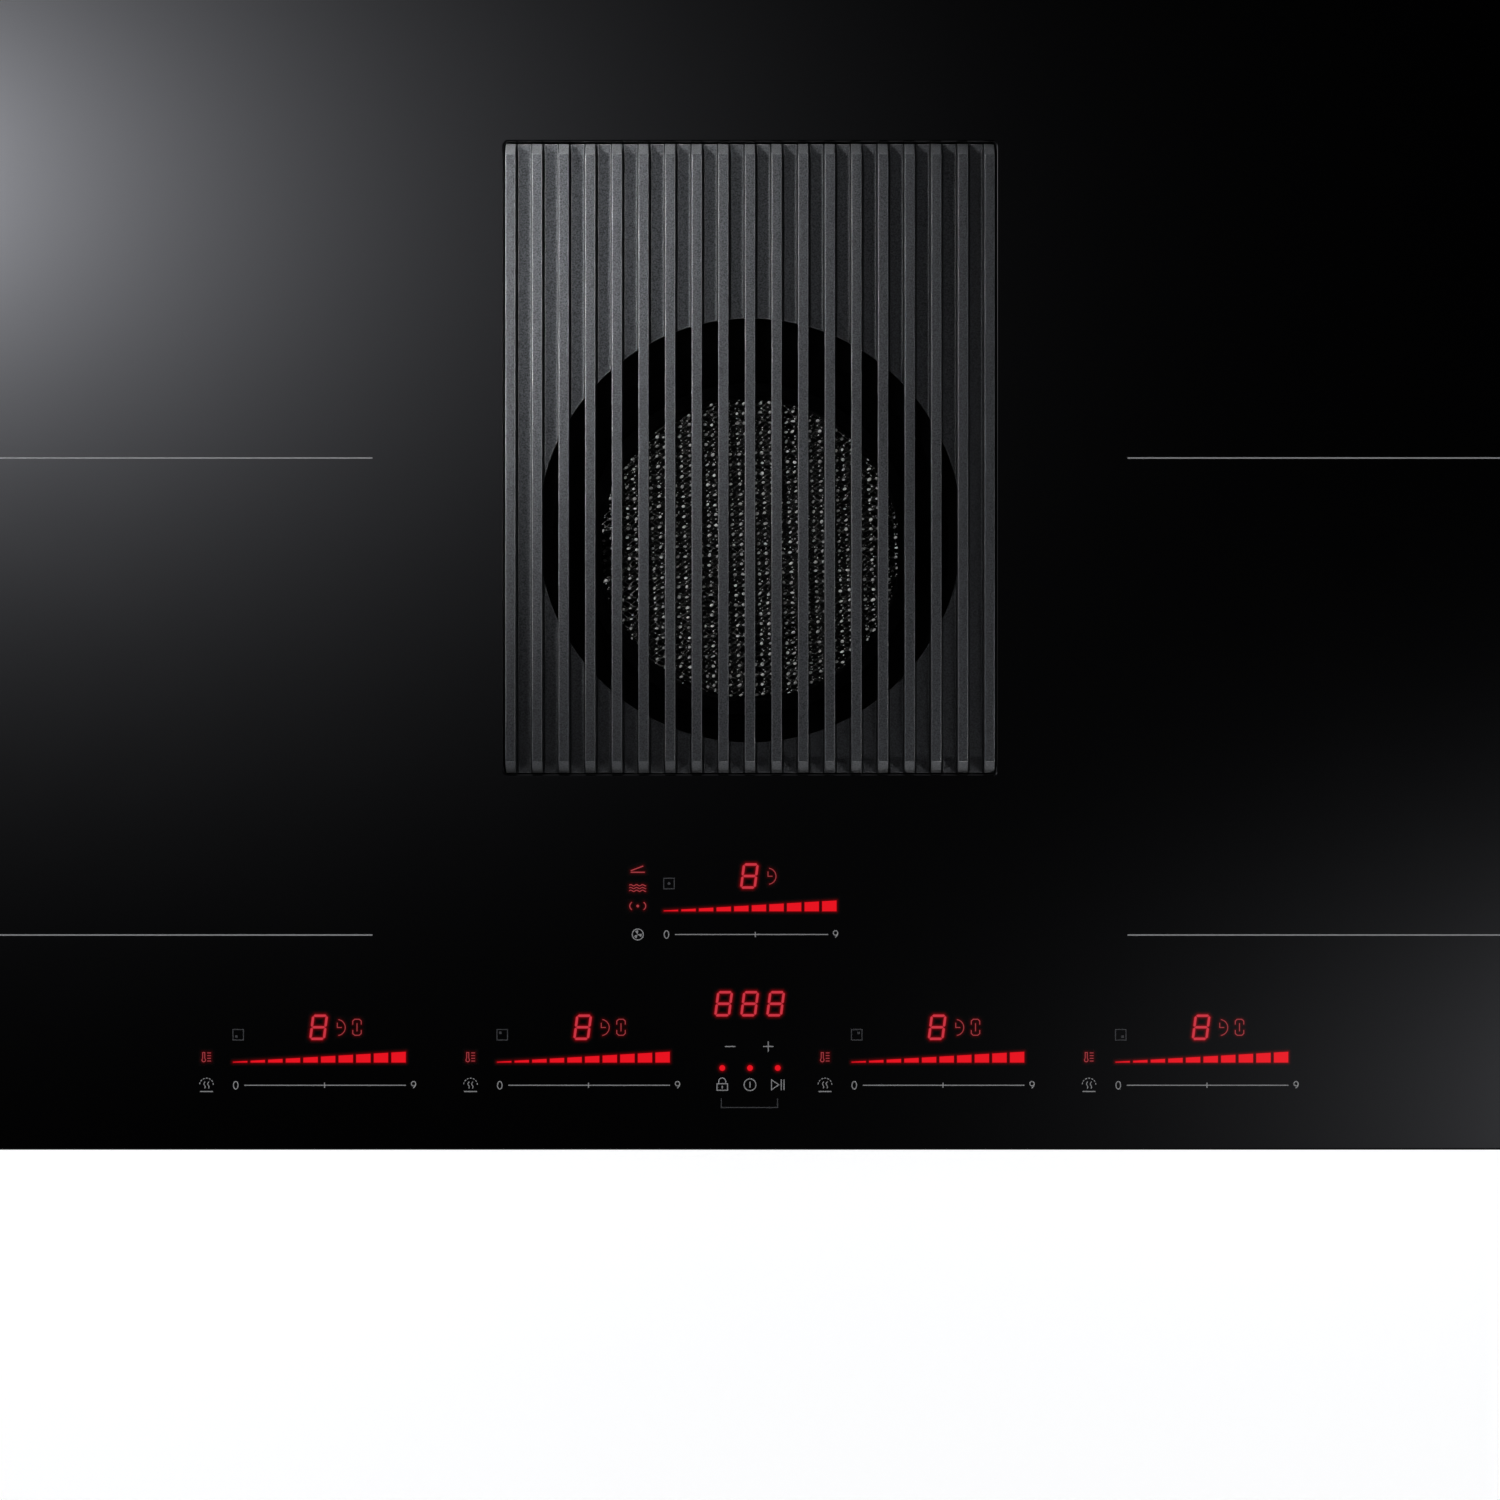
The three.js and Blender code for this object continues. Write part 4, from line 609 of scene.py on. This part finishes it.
halo_red = lamp_red("halo_red", HALO_RED, 0.22)
halo_tree = halo_red.node_tree
fade_node = halo_tree.nodes.new("ShaderNodeVertexColor")
fade_node.layer_name = "halo"
redden = halo_tree.nodes.new("ShaderNodeMix")
redden.data_type = "RGBA"
redden.blend_type = "MULTIPLY"
redden.inputs["Factor"].default_value = 1
redden.inputs["A"].default_value = (*HALO_RED, 1)
halo_tree.links.new(fade_node.outputs["Color"], redden.inputs["B"])
halo_tree.links.new(redden.outputs["Result"], halo_tree.nodes["Principled BSDF"].inputs["Emission Color"])
for name, marks, material in (
    ("lit_figures", lit, lamp_red("figure_red", (0.62, 0.035, 0.055), 0.95)),
    ("lit_bars", lit_bars, lamp_red("bar_red", (0.82, 0.006, 0.014), 0.98)),
    ("lit_signs", lit_signs, lamp_red("sign_red", (0.42, 0.05, 0.06), 0.9)),
    ("lit_halo", halo, halo_red),
):
    piece = shown(name, marks, material)
    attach(piece, "cooktop")

# ---------------------------------------------------------------- grille
# One iron casting under a fine-grained satin coat: nineteen slats with rounded edges that
# grow out of a thin plate with a round hole, their ends cut to a slope. A fine groove runs
# along both feet of each slat.
SLAT_COUNT = 19
SLAT_WIDTH = 4.1 * MM
SLAT_RISE = 8 * MM
SLAT_ARRIS = 0.35 * MM
SLAT_SINK = 1.4 * MM
SLAT_INSET = 0.05 * MM
GROOVE_LEFT = 0.5 * MM
GROOVE_RIGHT = 0.8 * MM
GROOVE_RIM = 1 * MM  # beyond the outermost slats
GROOVE_DEPTH = 1 * MM
END_RUN = 4.6 * MM
END_DROP = 6 * MM
HOLE_RADIUS = 85 * MM
HOLE_Y = -9.4 * MM
PLATE_ARRIS = 0.3 * MM
PLATE_CORNER = 0.8 * MM
plate_top = grille_high.z - SLAT_RISE
slat_low = grille_low.y + SLAT_INSET
slat_high = grille_high.y - SLAT_INSET


def bar(left, right, bottom, top, front, back):
    """A straight bar between two values along each axis."""
    bm = bmesh.new()
    bmesh.ops.create_cube(bm, size=1)
    bmesh.ops.scale(bm, vec=(right - left, back - front, top - bottom), verts=bm.verts)
    middle = ((left + right) / 2, (front + back) / 2, (bottom + top) / 2)
    bmesh.ops.translate(bm, vec=middle, verts=bm.verts)
    return bm


def slat():
    """One slat over X = 0, with sloping ends and rounded upper edges."""
    bm = bar(-SLAT_WIDTH / 2, SLAT_WIDTH / 2, plate_top - SLAT_SINK, grille_high.z, slat_low, slat_high)
    for edge_y, way in ((grille_low.y, -1), (grille_high.y, 1)):
        sliced = bmesh.ops.bisect_plane(
            bm,
            geom=[*bm.verts, *bm.edges, *bm.faces],
            plane_co=(0, edge_y, grille_high.z - END_DROP),
            plane_no=(0, way * END_DROP, END_RUN),
            clear_outer=True,
        )
        rim = [item for item in sliced["geom_cut"] if isinstance(item, bmesh.types.BMEdge)]
        bmesh.ops.edgeloop_fill(bm, edges=rim)
    bmesh.ops.recalc_face_normals(bm, faces=bm.faces)
    ease(bm, SLAT_ARRIS, 3, 12, lambda edge: min(vert.co.z for vert in edge.verts) > plate_top)
    return bm


def boolean(target, cutter, operation):
    """Joins or cuts two closed bmeshes into a new one."""
    pair = []
    for bm in (target, cutter):
        mesh = bpy.data.meshes.new("blank")
        bm.to_mesh(mesh)
        bm.free()
        pair.append(bpy.data.objects.new("blank", mesh))
        bpy.context.collection.objects.link(pair[-1])
    cut = pair[0].modifiers.new("cut", "BOOLEAN")
    cut.object = pair[1]
    cut.operation = operation
    cut.solver = "EXACT"
    bpy.context.view_layer.update()
    result = bmesh.new()
    result.from_object(pair[0], bpy.context.evaluated_depsgraph_get())
    for blank in pair:
        mesh = blank.data
        bpy.data.objects.remove(blank)
        bpy.data.meshes.remove(mesh)
    return result


def gathered(pieces):
    """Puts several closed bmeshes, which don't meet, into one."""
    together = bmesh.new()
    for blank in pieces:
        mesh = bpy.data.meshes.new("blank")
        blank.to_mesh(mesh)
        blank.free()
        together.from_mesh(mesh)
        bpy.data.meshes.remove(mesh)
    return together


slats = []
grooves = []
for index in range(SLAT_COUNT):
    share = index / (SLAT_COUNT - 1)
    x = grille_low.x + SLAT_WIDTH / 2 + share * (grille_high.x - grille_low.x - SLAT_WIDTH)
    left = x - SLAT_WIDTH / 2 - (GROOVE_LEFT if index else GROOVE_RIM)
    right = x + SLAT_WIDTH / 2 + (GROOVE_RIGHT if index < SLAT_COUNT - 1 else GROOVE_RIM)
    blank = slat()
    bmesh.ops.translate(blank, vec=(x, 0, 0), verts=blank.verts)
    slats.append(blank)
    groove_bottom = plate_top - GROOVE_DEPTH
    grooves.append(bar(left, right, groove_bottom, plate_top + MM, grille_low.y - MM, grille_high.y + MM))
plate = bmesh.new()
outline = rounded_outline(plate, grille_low, grille_high, PLATE_CORNER, plate_top, 4)
hole_centre = Matrix.Translation((0, HOLE_Y, plate_top))
hole = bmesh.ops.create_circle(plate, cap_ends=False, segments=180, radius=HOLE_RADIUS, matrix=hole_centre)
outline += list(dict.fromkeys(edge for vert in hole["verts"] for edge in vert.link_edges))
raise_sheet(plate, outline, plate_top - grille_low.z)
plate = boolean(plate, gathered(grooves), "DIFFERENCE")
ease(plate, PLATE_ARRIS, 3, 60, lambda edge: min(vert.co.z for vert in edge.verts) > plate_top - 0.05 * MM)


def satin_coat(name, color, roughness, height, mottle):
    """The grille's coat, which has the same grain on its plain faces and under its painted highlight."""
    return surface(name, color, roughness, grain=0.42, height=height, mottle=mottle, specular=0.25)


grained_coat = satin_coat("grained_coat", (0.0285, 0.0302, 0.0328), 0.34, 0.03, 0.8)
casting_bm = boolean(gathered(slats), plate, "UNION")
casting = shown("grille_casting", casting_bm, grained_coat, sharp=50)
# a painted highlight: the rounded edges and the slats' sloping ends get a lighter coat, in place of the light
# that they catch
PAINTED_HIGHLIGHT_FROM = 0.1  # upward part of the normal, from steep
PAINTED_HIGHLIGHT_TO = 0.985  # to nearly flat
PAINTED_HIGHLIGHT_AREA = 400 * MM * MM
painted_highlight_coat = satin_coat("painted_highlight_coat", (0.083, 0.0855, 0.089), 0.3, 0.02, 0.4)
casting.data.materials.append(painted_highlight_coat)
for face in casting.data.polygons:
    if PAINTED_HIGHLIGHT_FROM < face.normal.z < PAINTED_HIGHLIGHT_TO and face.area < PAINTED_HIGHLIGHT_AREA:
        face.material_index = 1
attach(casting, "grille")
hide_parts("grille")
grille_only.objects.link(casting)

# ---------------------------------------------------------------- grease filter mesh
# Three layers of fine expanded aluminium, slit and drawn into staggered diamonds. The
# strands are painted dark as painted shade, and the knuckles where they meet light grey as painted glints.
mesh_low, mesh_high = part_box("filter_mesh")
mesh_centre = (mesh_low + mesh_high) / 2
MESH_MARGIN = 0.4 * MM
MESH_RADIUS = (mesh_high.x - mesh_low.x) / 2 - MESH_MARGIN
CELL_WIDTH = 6.6 * MM
CELL_DEPTH = 4.1 * MM
STRAND = 0.4 * MM
STRAND_OVERLAP = 1.08
KNUCKLE = (1.1, 0.85, 0.4)  # length, width and height against its size
KNUCKLE_RISE = 0.35 * MM
CRUMPLE = 0.6  # mm
CRUMPLE_LENGTH = 3.1 * MM
# of each layer: depth in mm, turn in degrees, shift in mm, size of its knuckles in mm
LAYERS = ((1.0, 2, 0.0, 0.8), (2.4, 2.6, 3.3, 0.8), (4.4, 7, 2.3, 0.4))
noise.seed_set(4)  # without it the crumples differ from run to run


def expanded_sheet(depth, turn, shift, knuckle):
    """One layer: a unit of four bowed strands, set side by side, trimmed to the disc."""
    unit = bmesh.new()
    for sx, sy in ((-1, -1), (1, -1), (-1, 1), (1, 1)):
        start = Vector((0, sy * CELL_DEPTH / 2, 0.3 * MM))
        end = Vector((sx * CELL_WIDTH / 2, 0, -0.3 * MM))
        way = end - start
        turned = way.to_track_quat("Z", "Y").to_matrix().to_4x4()
        tube = bmesh.ops.create_cone(
            unit,
            cap_ends=True,
            segments=6,
            radius1=STRAND / 2,
            radius2=STRAND / 2,
            depth=way.length * STRAND_OVERLAP,
            matrix=Matrix.Translation((start + end) / 2) @ turned,
        )
        around = dict.fromkeys(edge for vert in tube["verts"] for edge in vert.link_edges)
        sides = [edge for edge in around if edge.calc_length() > way.length / 2]
        middle = bmesh.ops.subdivide_edges(unit, edges=sides, cuts=1)
        bowed = [item for item in middle["geom_inner"] if isinstance(item, bmesh.types.BMVert)]
        bmesh.ops.translate(unit, vec=(sx * 0.25 * MM, sy * 0.2 * MM, -sy * 0.2 * MM), verts=bowed)
    # the strands' faces, which are painted dark as painted shade
    painted_dark_faces = set(unit.faces)
    # where strands meet: X, Y, share of the size of a knuckle, lean in degrees
    meetings = ((0, -CELL_DEPTH / 2, 1, 25), (CELL_WIDTH / 2, 0, 0.4, 40), (0.9 * MM, -0.8 * MM, 0.35, 35))
    for x, y, share, lean in meetings:
        ball = bmesh.ops.create_icosphere(unit, subdivisions=1, radius=share * knuckle * MM)["verts"]
        slant = Matrix.Rotation(math.radians(lean), 3, "Z")
        bmesh.ops.scale(unit, vec=KNUCKLE, verts=ball)
        bmesh.ops.rotate(unit, cent=(0, 0, 0), matrix=slant, verts=ball)
        bmesh.ops.translate(unit, vec=(x, y, KNUCKLE_RISE), verts=ball)
    for face in unit.faces:
        face.material_index = 0 if face in painted_dark_faces else 1
    mesh = bpy.data.meshes.new("unit")
    unit.to_mesh(mesh)
    unit.free()
    sheet = bpy.data.objects.new("unit", mesh)
    bpy.context.collection.objects.link(sheet)
    columns = int(2 * MESH_RADIUS / CELL_WIDTH) + 4
    rows = int(2 * MESH_RADIUS / CELL_DEPTH) + 4
    for count, step in ((columns, (CELL_WIDTH, 0, 0)), (rows, (0, CELL_DEPTH, 0))):
        repeat = sheet.modifiers.new("repeat", "ARRAY")
        repeat.count = count
        repeat.use_relative_offset = False
        repeat.use_constant_offset = True
        repeat.constant_offset_displace = step
    bpy.context.view_layer.update()
    layer = bmesh.new()
    layer.from_object(sheet, bpy.context.evaluated_depsgraph_get())
    bpy.data.objects.remove(sheet)
    bpy.data.meshes.remove(mesh)
    centred = (-(columns - 1) * CELL_WIDTH / 2 + shift * MM, -(rows - 1) * CELL_DEPTH / 2, 0)
    bmesh.ops.translate(layer, vec=centred, verts=layer.verts)
    turning = Matrix.Rotation(math.radians(turn), 3, "Z")
    bmesh.ops.rotate(layer, cent=(0, 0, 0), matrix=turning, verts=layer.verts)
    for vert in layer.verts:
        crumple = noise.noise_vector(vert.co / CRUMPLE_LENGTH + Vector((shift * 7, 0, 0)))
        vert.co += Vector((crumple.x * CRUMPLE, crumple.y * CRUMPLE, crumple.z * CRUMPLE)) * MM
    outside = [vert for vert in layer.verts if math.hypot(vert.co.x, vert.co.y) > MESH_RADIUS]
    shells = dict.fromkeys(other for vert in outside for edge in vert.link_edges for other in edge.verts)
    bmesh.ops.delete(layer, geom=list(shells), context="VERTS")
    open_rims = [edge for edge in layer.edges if edge.is_boundary]
    bmesh.ops.holes_fill(layer, edges=open_rims, sides=8)
    loose = [vert for vert in layer.verts if not vert.link_faces]
    bmesh.ops.delete(layer, geom=loose, context="VERTS")
    in_frame = (mesh_centre.x, mesh_centre.y, mesh_high.z - depth * MM)
    bmesh.ops.translate(layer, vec=in_frame, verts=layer.verts)
    return layer


# dark metal is painted shade on the strands, and light grey is a painted glint on the knuckles
strand_painted_dark = surface("strand_painted_dark", (0.04, 0.04, 0.04), 0.35, metallic=1.0)
knuckle_painted_glint = surface("knuckle_painted_glint", (0.4, 0.4, 0.4), 0.4, metallic=0.1, grain=1.5, mottle=0.8)
for number, sizes in enumerate(LAYERS, 1):
    layer = shown(f"filter_layer_{number}", expanded_sheet(*sizes), strand_painted_dark, sharp=80)
    layer.data.materials.append(knuckle_painted_glint)
    layer.modifiers.clear()
    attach(layer, "grease_filter")
    mesh_only.objects.link(layer)
    if number == 1:
        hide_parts("filter_mesh")

# ---------------------------------------------------------------- filter basket and inlet tub
# Black mouldings: a shallow tub, the funnel that is welded under it, and the round basket
# that stands in the funnel's seat and carries the mesh, with a finger tab at each side.
BASKET_EDGE = 0.4 * MM
TUB_EDGE = 0.5 * MM


def solid_of(name):
    """The solid of one node where it rests, with each flat face in one piece."""
    bm = bmesh.new()
    bm.from_mesh(nodes[name].data)
    bm.transform(nodes[name].matrix_world)
    bmesh.ops.remove_doubles(bm, verts=bm.verts, dist=0.01 * MM)
    bmesh.ops.dissolve_limit(bm, angle_limit=math.radians(1), verts=bm.verts, edges=bm.edges)
    bmesh.ops.recalc_face_normals(bm, faces=bm.faces)
    return bm


def dressed(name, kind, bm, body, material, sharp=40):
    """Shows a bmesh in the place of one node."""
    piece = shown(f"{name}_{kind}", bm, material, sharp)
    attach(piece, body)
    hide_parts(name)
    return piece


def rounded_copy(name, kind, body, material, radius, angle=30):
    """Shows one node with its edges rounded."""
    bm = solid_of(name)
    ease(bm, radius, 2, angle)
    return dressed(name, kind, bm, body, material)


# darker and duller than black plastic: the mouldings' own black with painted shade, so the hole stays black
# inside
tub_black_and_painted_shade = surface(
    "tub_black_and_painted_shade", (0.0018, 0.0018, 0.0019), 0.6, grain=0.5, height=0.02, mottle=0.1, specular=0.12
)
rounded_copy("filter_frame", "moulding", "grease_filter", tub_black_and_painted_shade, BASKET_EDGE)
rounded_copy("inlet_tub", "moulding", "cooktop", tub_black_and_painted_shade, TUB_EDGE)
rounded_copy("inlet_funnel", "moulding", "cooktop", tub_black_and_painted_shade, TUB_EDGE)

# ---------------------------------------------------------------- seals and pads
# Strips of closed-cell foam tape under the glass, and moulded rubber: two pads glued under
# the grille and the flat ring on which the filter basket stands.
PAD_EDGE = 0.5 * MM
SEAL_EDGE = 0.3 * MM
foam_tape = surface("foam_tape", (0.03, 0.03, 0.031), 0.95, grain=0.8, height=0.15, mottle=0.25)
soft_rubber = surface("soft_rubber", (0.015, 0.015, 0.015), 0.8, grain=0.4, height=0.03, mottle=0.15)
rounded_copy("glass_gasket", "tape", "cooktop", foam_tape, SEAL_EDGE)
rounded_copy("tub_gasket", "tape", "cooktop", foam_tape, SEAL_EDGE)
rounded_copy("grille_pad_left", "rubber", "grille", soft_rubber, PAD_EDGE)
rounded_copy("grille_pad_right", "rubber", "grille", soft_rubber, PAD_EDGE)
rounded_copy("filter_seal", "ring", "grease_filter", soft_rubber, SEAL_EDGE)

# ---------------------------------------------------------------- steel tray
# One zinc-coated sheet, 1.2 mm thick, folded up at its four sides, with punched slots for
# the cooling air. Its punched and folded edges are slightly round.
SHEET_EDGE = 0.3 * MM
zinc_sheet = surface(
    "zinc_sheet", (0.5, 0.51, 0.52), 0.36, metallic=1.0, grain=6.0, height=0.02, mottle=0.07, wear=0.2
)
rounded_copy("base_tray", "sheet", "cooktop", zinc_sheet, SHEET_EDGE)

# ---------------------------------------------------------------- clamps
# A bracket of spring steel with two bent leaves at each side of the tray, and the zinc
# screw with a cross recess that holds it.
LEAF_EDGE = 0.25 * MM
SCREW_EDGE = 0.35 * MM
RECESS_LENGTH = 4.4 * MM
RECESS_WIDTH = 1.1 * MM
RECESS_DEPTH = 1.4 * MM
HEAD_RIM = 3.5 * MM  # from the screw's axis, outside its recess
bright_steel = surface(
    "bright_steel", (0.62, 0.62, 0.62), 0.25, metallic=1.0, grain=0.4, height=0.01, wear=0.3
)
for side, name in ((-1, "left"), (1, "right")):
    rounded_copy(f"clamp_spring_{name}", "steel", "cooktop", bright_steel, LEAF_EDGE)
    low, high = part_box(f"clamp_screw_{name}")
    middle = (low + high) / 2
    face = high.x if side > 0 else low.x
    inner, outer = sorted((face - side * RECESS_DEPTH, face + side * MM))
    screw = solid_of(f"clamp_screw_{name}")
    for long_y, long_z in ((RECESS_LENGTH, RECESS_WIDTH), (RECESS_WIDTH, RECESS_LENGTH)):
        bottom, top = middle.z - long_z / 2, middle.z + long_z / 2
        recess = bar(inner, outer, bottom, top, middle.y - long_y / 2, middle.y + long_y / 2)
        screw = boolean(screw, recess, "DIFFERENCE")
    ease(screw, SCREW_EDGE, 2, 60, lambda edge: max(abs(v.co.y - middle.y) for v in edge.verts) > HEAD_RIM)
    dressed(f"clamp_screw_{name}", "zinc", screw, "cooktop", zinc_sheet)

# ---------------------------------------------------------------- mains connection
# A black box under the tray with a six-way terminal block, closed by a hinged cover, and
# a screwed gland for the cable. The wires are the fitter's and aren't part of it.
BOX_EDGE = 0.8 * MM
BLOCK_EDGE = 0.3 * MM
black_moulding = surface(
    "black_moulding", (0.012, 0.012, 0.013), 0.42, grain=0.5, height=0.03, mottle=0.1, wear=0.15
)
grey_moulding = surface(
    "grey_moulding", (0.11, 0.112, 0.116), 0.45, grain=0.6, height=0.03, mottle=0.08, wear=0.15
)
rounded_copy("terminal_box", "moulding", "cooktop", black_moulding, BOX_EDGE)
rounded_copy("terminal_block", "moulding", "cooktop", grey_moulding, BLOCK_EDGE)
rounded_copy("terminal_cover", "moulding", "terminal_cover", black_moulding, BOX_EDGE)
rounded_copy("cable_gland", "moulding", "cooktop", black_moulding, BLOCK_EDGE)

# ---------------------------------------------------------------- touch electronics
# A moulded dish on legs holds a green circuit board under the front of the glass. Milky
# light boxes on the board guide the light of its lamps up to the marks.
DISH_EDGE = 0.5 * MM
LIGHT_BOX_EDGE = 0.3 * MM
BOARD_UPSIDE = 199.6 * MM
circuit_board = surface("circuit_board", (0.012, 0.09, 0.035), 0.35, grain=1.2, height=0.02, mottle=0.2)
milky_moulding = surface("milky_moulding", (0.62, 0.62, 0.6), 0.5, grain=0.6, height=0.02, mottle=0.05)


def stands_above(piece, height, material):
    """Gives everything above a height, in metres, a second material."""
    piece.data.materials.append(material)
    for face in piece.data.polygons:
        if face.center.z > height:
            face.material_index = 1


rounded_copy("control_bracket", "moulding", "cooktop", black_moulding, DISH_EDGE)
controls = rounded_copy("control_board", "laminate", "cooktop", circuit_board, LIGHT_BOX_EDGE)
stands_above(controls, BOARD_UPSIDE + 0.2 * MM, milky_moulding)

# ---------------------------------------------------------------- cooking zones
# On each aluminium bridge lie two moulded coil formers with ferrite bars under them, each
# with a flat coil of braided copper, a sprung probe, and one sheet of mica over both.
TURNS = 16
STRAND_GAP = 0.15 * MM
EYE_WIDTH = 56 * MM
EYE_DEPTH = 40 * MM
EYE_CORNER = 12 * MM
OUTER_CORNER = 28 * MM
BRAID_EDGE = 1.5 * MM
FERRITE_HEIGHT = 4 * MM
BRIDGE_EDGE = 0.4 * MM
MICA_EDGE = 0.1 * MM
braided_copper = surface(
    "braided_copper", (0.5, 0.2, 0.09), 0.35, metallic=1.0, grain=0.7, height=0.12, mottle=0.15, wear=0.2
)
ferrite = surface("ferrite", (0.02, 0.02, 0.021), 0.5, grain=0.6, height=0.02, mottle=0.1)
mica = surface("mica", (0.6, 0.57, 0.48), 0.5, grain=3.0, height=0.02, mottle=0.15)
drawn_aluminium = surface(
    "drawn_aluminium",
    (0.72, 0.73, 0.74),
    0.34,
    metallic=1.0,
    grain=0.9,
    height=0.015,
    wear=0.25,
    along=(1, 0.08, 1),
)


def coil(low, high):
    """Turns of braid side by side, from the eye in the middle to the outside."""
    middle = (low + high) / 2
    turns = []
    for turn in range(TURNS):
        outlines = bmesh.new()
        edges = []
        for step, gap in ((turn, STRAND_GAP), (turn + 1, -STRAND_GAP)):
            share = step / TURNS
            half_x = EYE_WIDTH / 2 + share * ((high.x - low.x) - EYE_WIDTH) / 2 + gap
            half_y = EYE_DEPTH / 2 + share * ((high.y - low.y) - EYE_DEPTH) / 2 + gap
            corner = EYE_CORNER + share * (OUTER_CORNER - EYE_CORNER) + gap
            start = (middle.x - half_x, middle.y - half_y)
            end = (middle.x + half_x, middle.y + half_y)
            edges += rounded_outline(outlines, start, end, corner, high.z, 6)
        raise_sheet(outlines, edges, high.z - low.z)
        ease(outlines, BRAID_EDGE, 3, 60)
        turns.append(outlines)
    return gathered(turns)


for side in ("left", "right"):
    rounded_copy(f"coil_bridge_{side}", "sheet", "cooktop", drawn_aluminium, BRIDGE_EDGE)
    rounded_copy(f"mica_sheet_{side}", "sheet", "cooktop", mica, MICA_EDGE)
    for row in ("front", "rear"):
        zone = f"{row}_{side}"
        former = rounded_copy(f"coil_former_{zone}", "ferrite", "cooktop", ferrite, BLOCK_EDGE)
        stands_above(former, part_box(f"coil_former_{zone}")[0].z + FERRITE_HEIGHT - 0.05 * MM, grey_moulding)
        winding = coil(*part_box(f"coil_winding_{zone}"))
        dressed(f"coil_winding_{zone}", "braid", winding, "cooktop", braided_copper)
        rounded_copy(f"temperature_sensor_{zone}", "steel", "cooktop", bright_steel, BLOCK_EDGE)

# ---------------------------------------------------------------- power electronics
# Circuit boards on stand-offs in the tray, with dark capacitors, chokes and relays, and a
# finned aluminium heatsink on each of the two power boards.
PART_EDGE = 0.5 * MM
FIN_EDGE = 0.25 * MM
BOARD_LEVELS = {"power_board_left": 5.6 * MM, "power_board_right": 5.6 * MM, "mains_board": 4.6 * MM}
dark_parts = surface("dark_parts", (0.02, 0.021, 0.026), 0.4, grain=1.5, height=0.02, mottle=0.15)
for name, level in BOARD_LEVELS.items():
    board = rounded_copy(name, "laminate", "cooktop", circuit_board, PART_EDGE)
    stands_above(board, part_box(name)[0].z + level + 0.3 * MM, dark_parts)
for side in ("left", "right"):
    rounded_copy(f"heatsink_{side}", "extrusion", "cooktop", drawn_aluminium, FIN_EDGE)

# ---------------------------------------------------------------- cooling fans
# Two flat fans on the floor of the tray blow over the heatsinks: a square black frame with
# four struts, and a rotor with seven blades.
FAN_EDGE = 0.3 * MM
for side in ("left", "right"):
    rounded_copy(f"fan_frame_{side}", "moulding", "cooktop", black_moulding, FAN_EDGE)
    rounded_copy(f"fan_rotor_{side}", "moulding", f"fan_rotor_{side}", black_moulding, FAN_EDGE)

# ---------------------------------------------------------------- extractor housing
# A deep black moulding with upright ribs on its sides, open at the top, and the zinc sheet
# that closes it.
HOUSING_EDGE = 0.7 * MM
housing_black = surface(
    "housing_black", (0.014, 0.014, 0.015), 0.5, grain=0.7, height=0.05, mottle=0.12, wear=0.12
)
rounded_copy("extractor_housing", "moulding", "cooktop", housing_black, HOUSING_EDGE)
rounded_copy("housing_lid", "sheet", "cooktop", zinc_sheet, SHEET_EDGE)

# ---------------------------------------------------------------- drip tray and cassettes
# Three drawers in the front of the housing: a black basin for water that fell through the
# grille, and two black frames around blocks of active charcoal. Each has a pull.
DRAWER_EDGE = 0.7 * MM
RECESS_OF_CHARCOAL = 2.9 * MM
CASSETTE_HALF = 18 * MM
CHARCOAL_AREA = 100 * MM * MM  # the frame's own faces in there are smaller
basin_black = surface("basin_black", (0.006, 0.006, 0.0065), 0.55, grain=0.5, height=0.03, mottle=0.1)
charcoal = surface("charcoal", (0.02, 0.02, 0.02), 0.85, grain=1.6, height=0.5, mottle=0.5)
rounded_copy("drip_tray", "moulding", "drip_tray", basin_black, DRAWER_EDGE)
for name in ("odour_cassette_left", "odour_cassette_right"):
    cassette = rounded_copy(name, "frame", name, black_moulding, DRAWER_EDGE)
    cassette.data.materials.append(charcoal)
    low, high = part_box(name)
    centre_x = (low.x + high.x) / 2
    for face in cassette.data.polygons:
        deep = abs(face.center.x - centre_x) < CASSETTE_HALF - RECESS_OF_CHARCOAL
        if deep and abs(face.normal.x) > 0.9 and face.area > CHARCOAL_AREA:
            face.material_index = 1

# ---------------------------------------------------------------- blower
# Two black half scrolls around a grey drum of 24 blades, on the steel shaft of a motor in
# a zinc can. A three-armed spider holds the motor in the left inlet.
SCROLL_EDGE = 0.4 * MM
CAN_EDGE = 0.8 * MM
rounded_copy("scroll_left", "moulding", "cooktop", black_moulding, SCROLL_EDGE, 50)
rounded_copy("scroll_right", "moulding", "cooktop", black_moulding, SCROLL_EDGE, 50)
dressed("impeller", "moulding", solid_of("impeller"), "impeller", grey_moulding, 30)
rounded_copy("motor_shaft", "steel", "cooktop", bright_steel, SHEET_EDGE, 50)
rounded_copy("motor_body", "can", "cooktop", zinc_sheet, CAN_EDGE, 50)
rounded_copy("motor_bracket", "sheet", "cooktop", zinc_sheet, SHEET_EDGE, 50)

# ---------------------------------------------------------------- outlet and driver
# A black rectangular spigot for a flat duct at the back, and the grey box of the blower's
# electronics, screwed to the right side of the housing by the ears of its strap.
SPIGOT_EDGE = 0.6 * MM
DRIVER_EDGE = 1 * MM
rounded_copy("outlet_spigot", "moulding", "cooktop", black_moulding, SPIGOT_EDGE)
rounded_copy("blower_driver", "moulding", "cooktop", grey_moulding, DRIVER_EDGE)
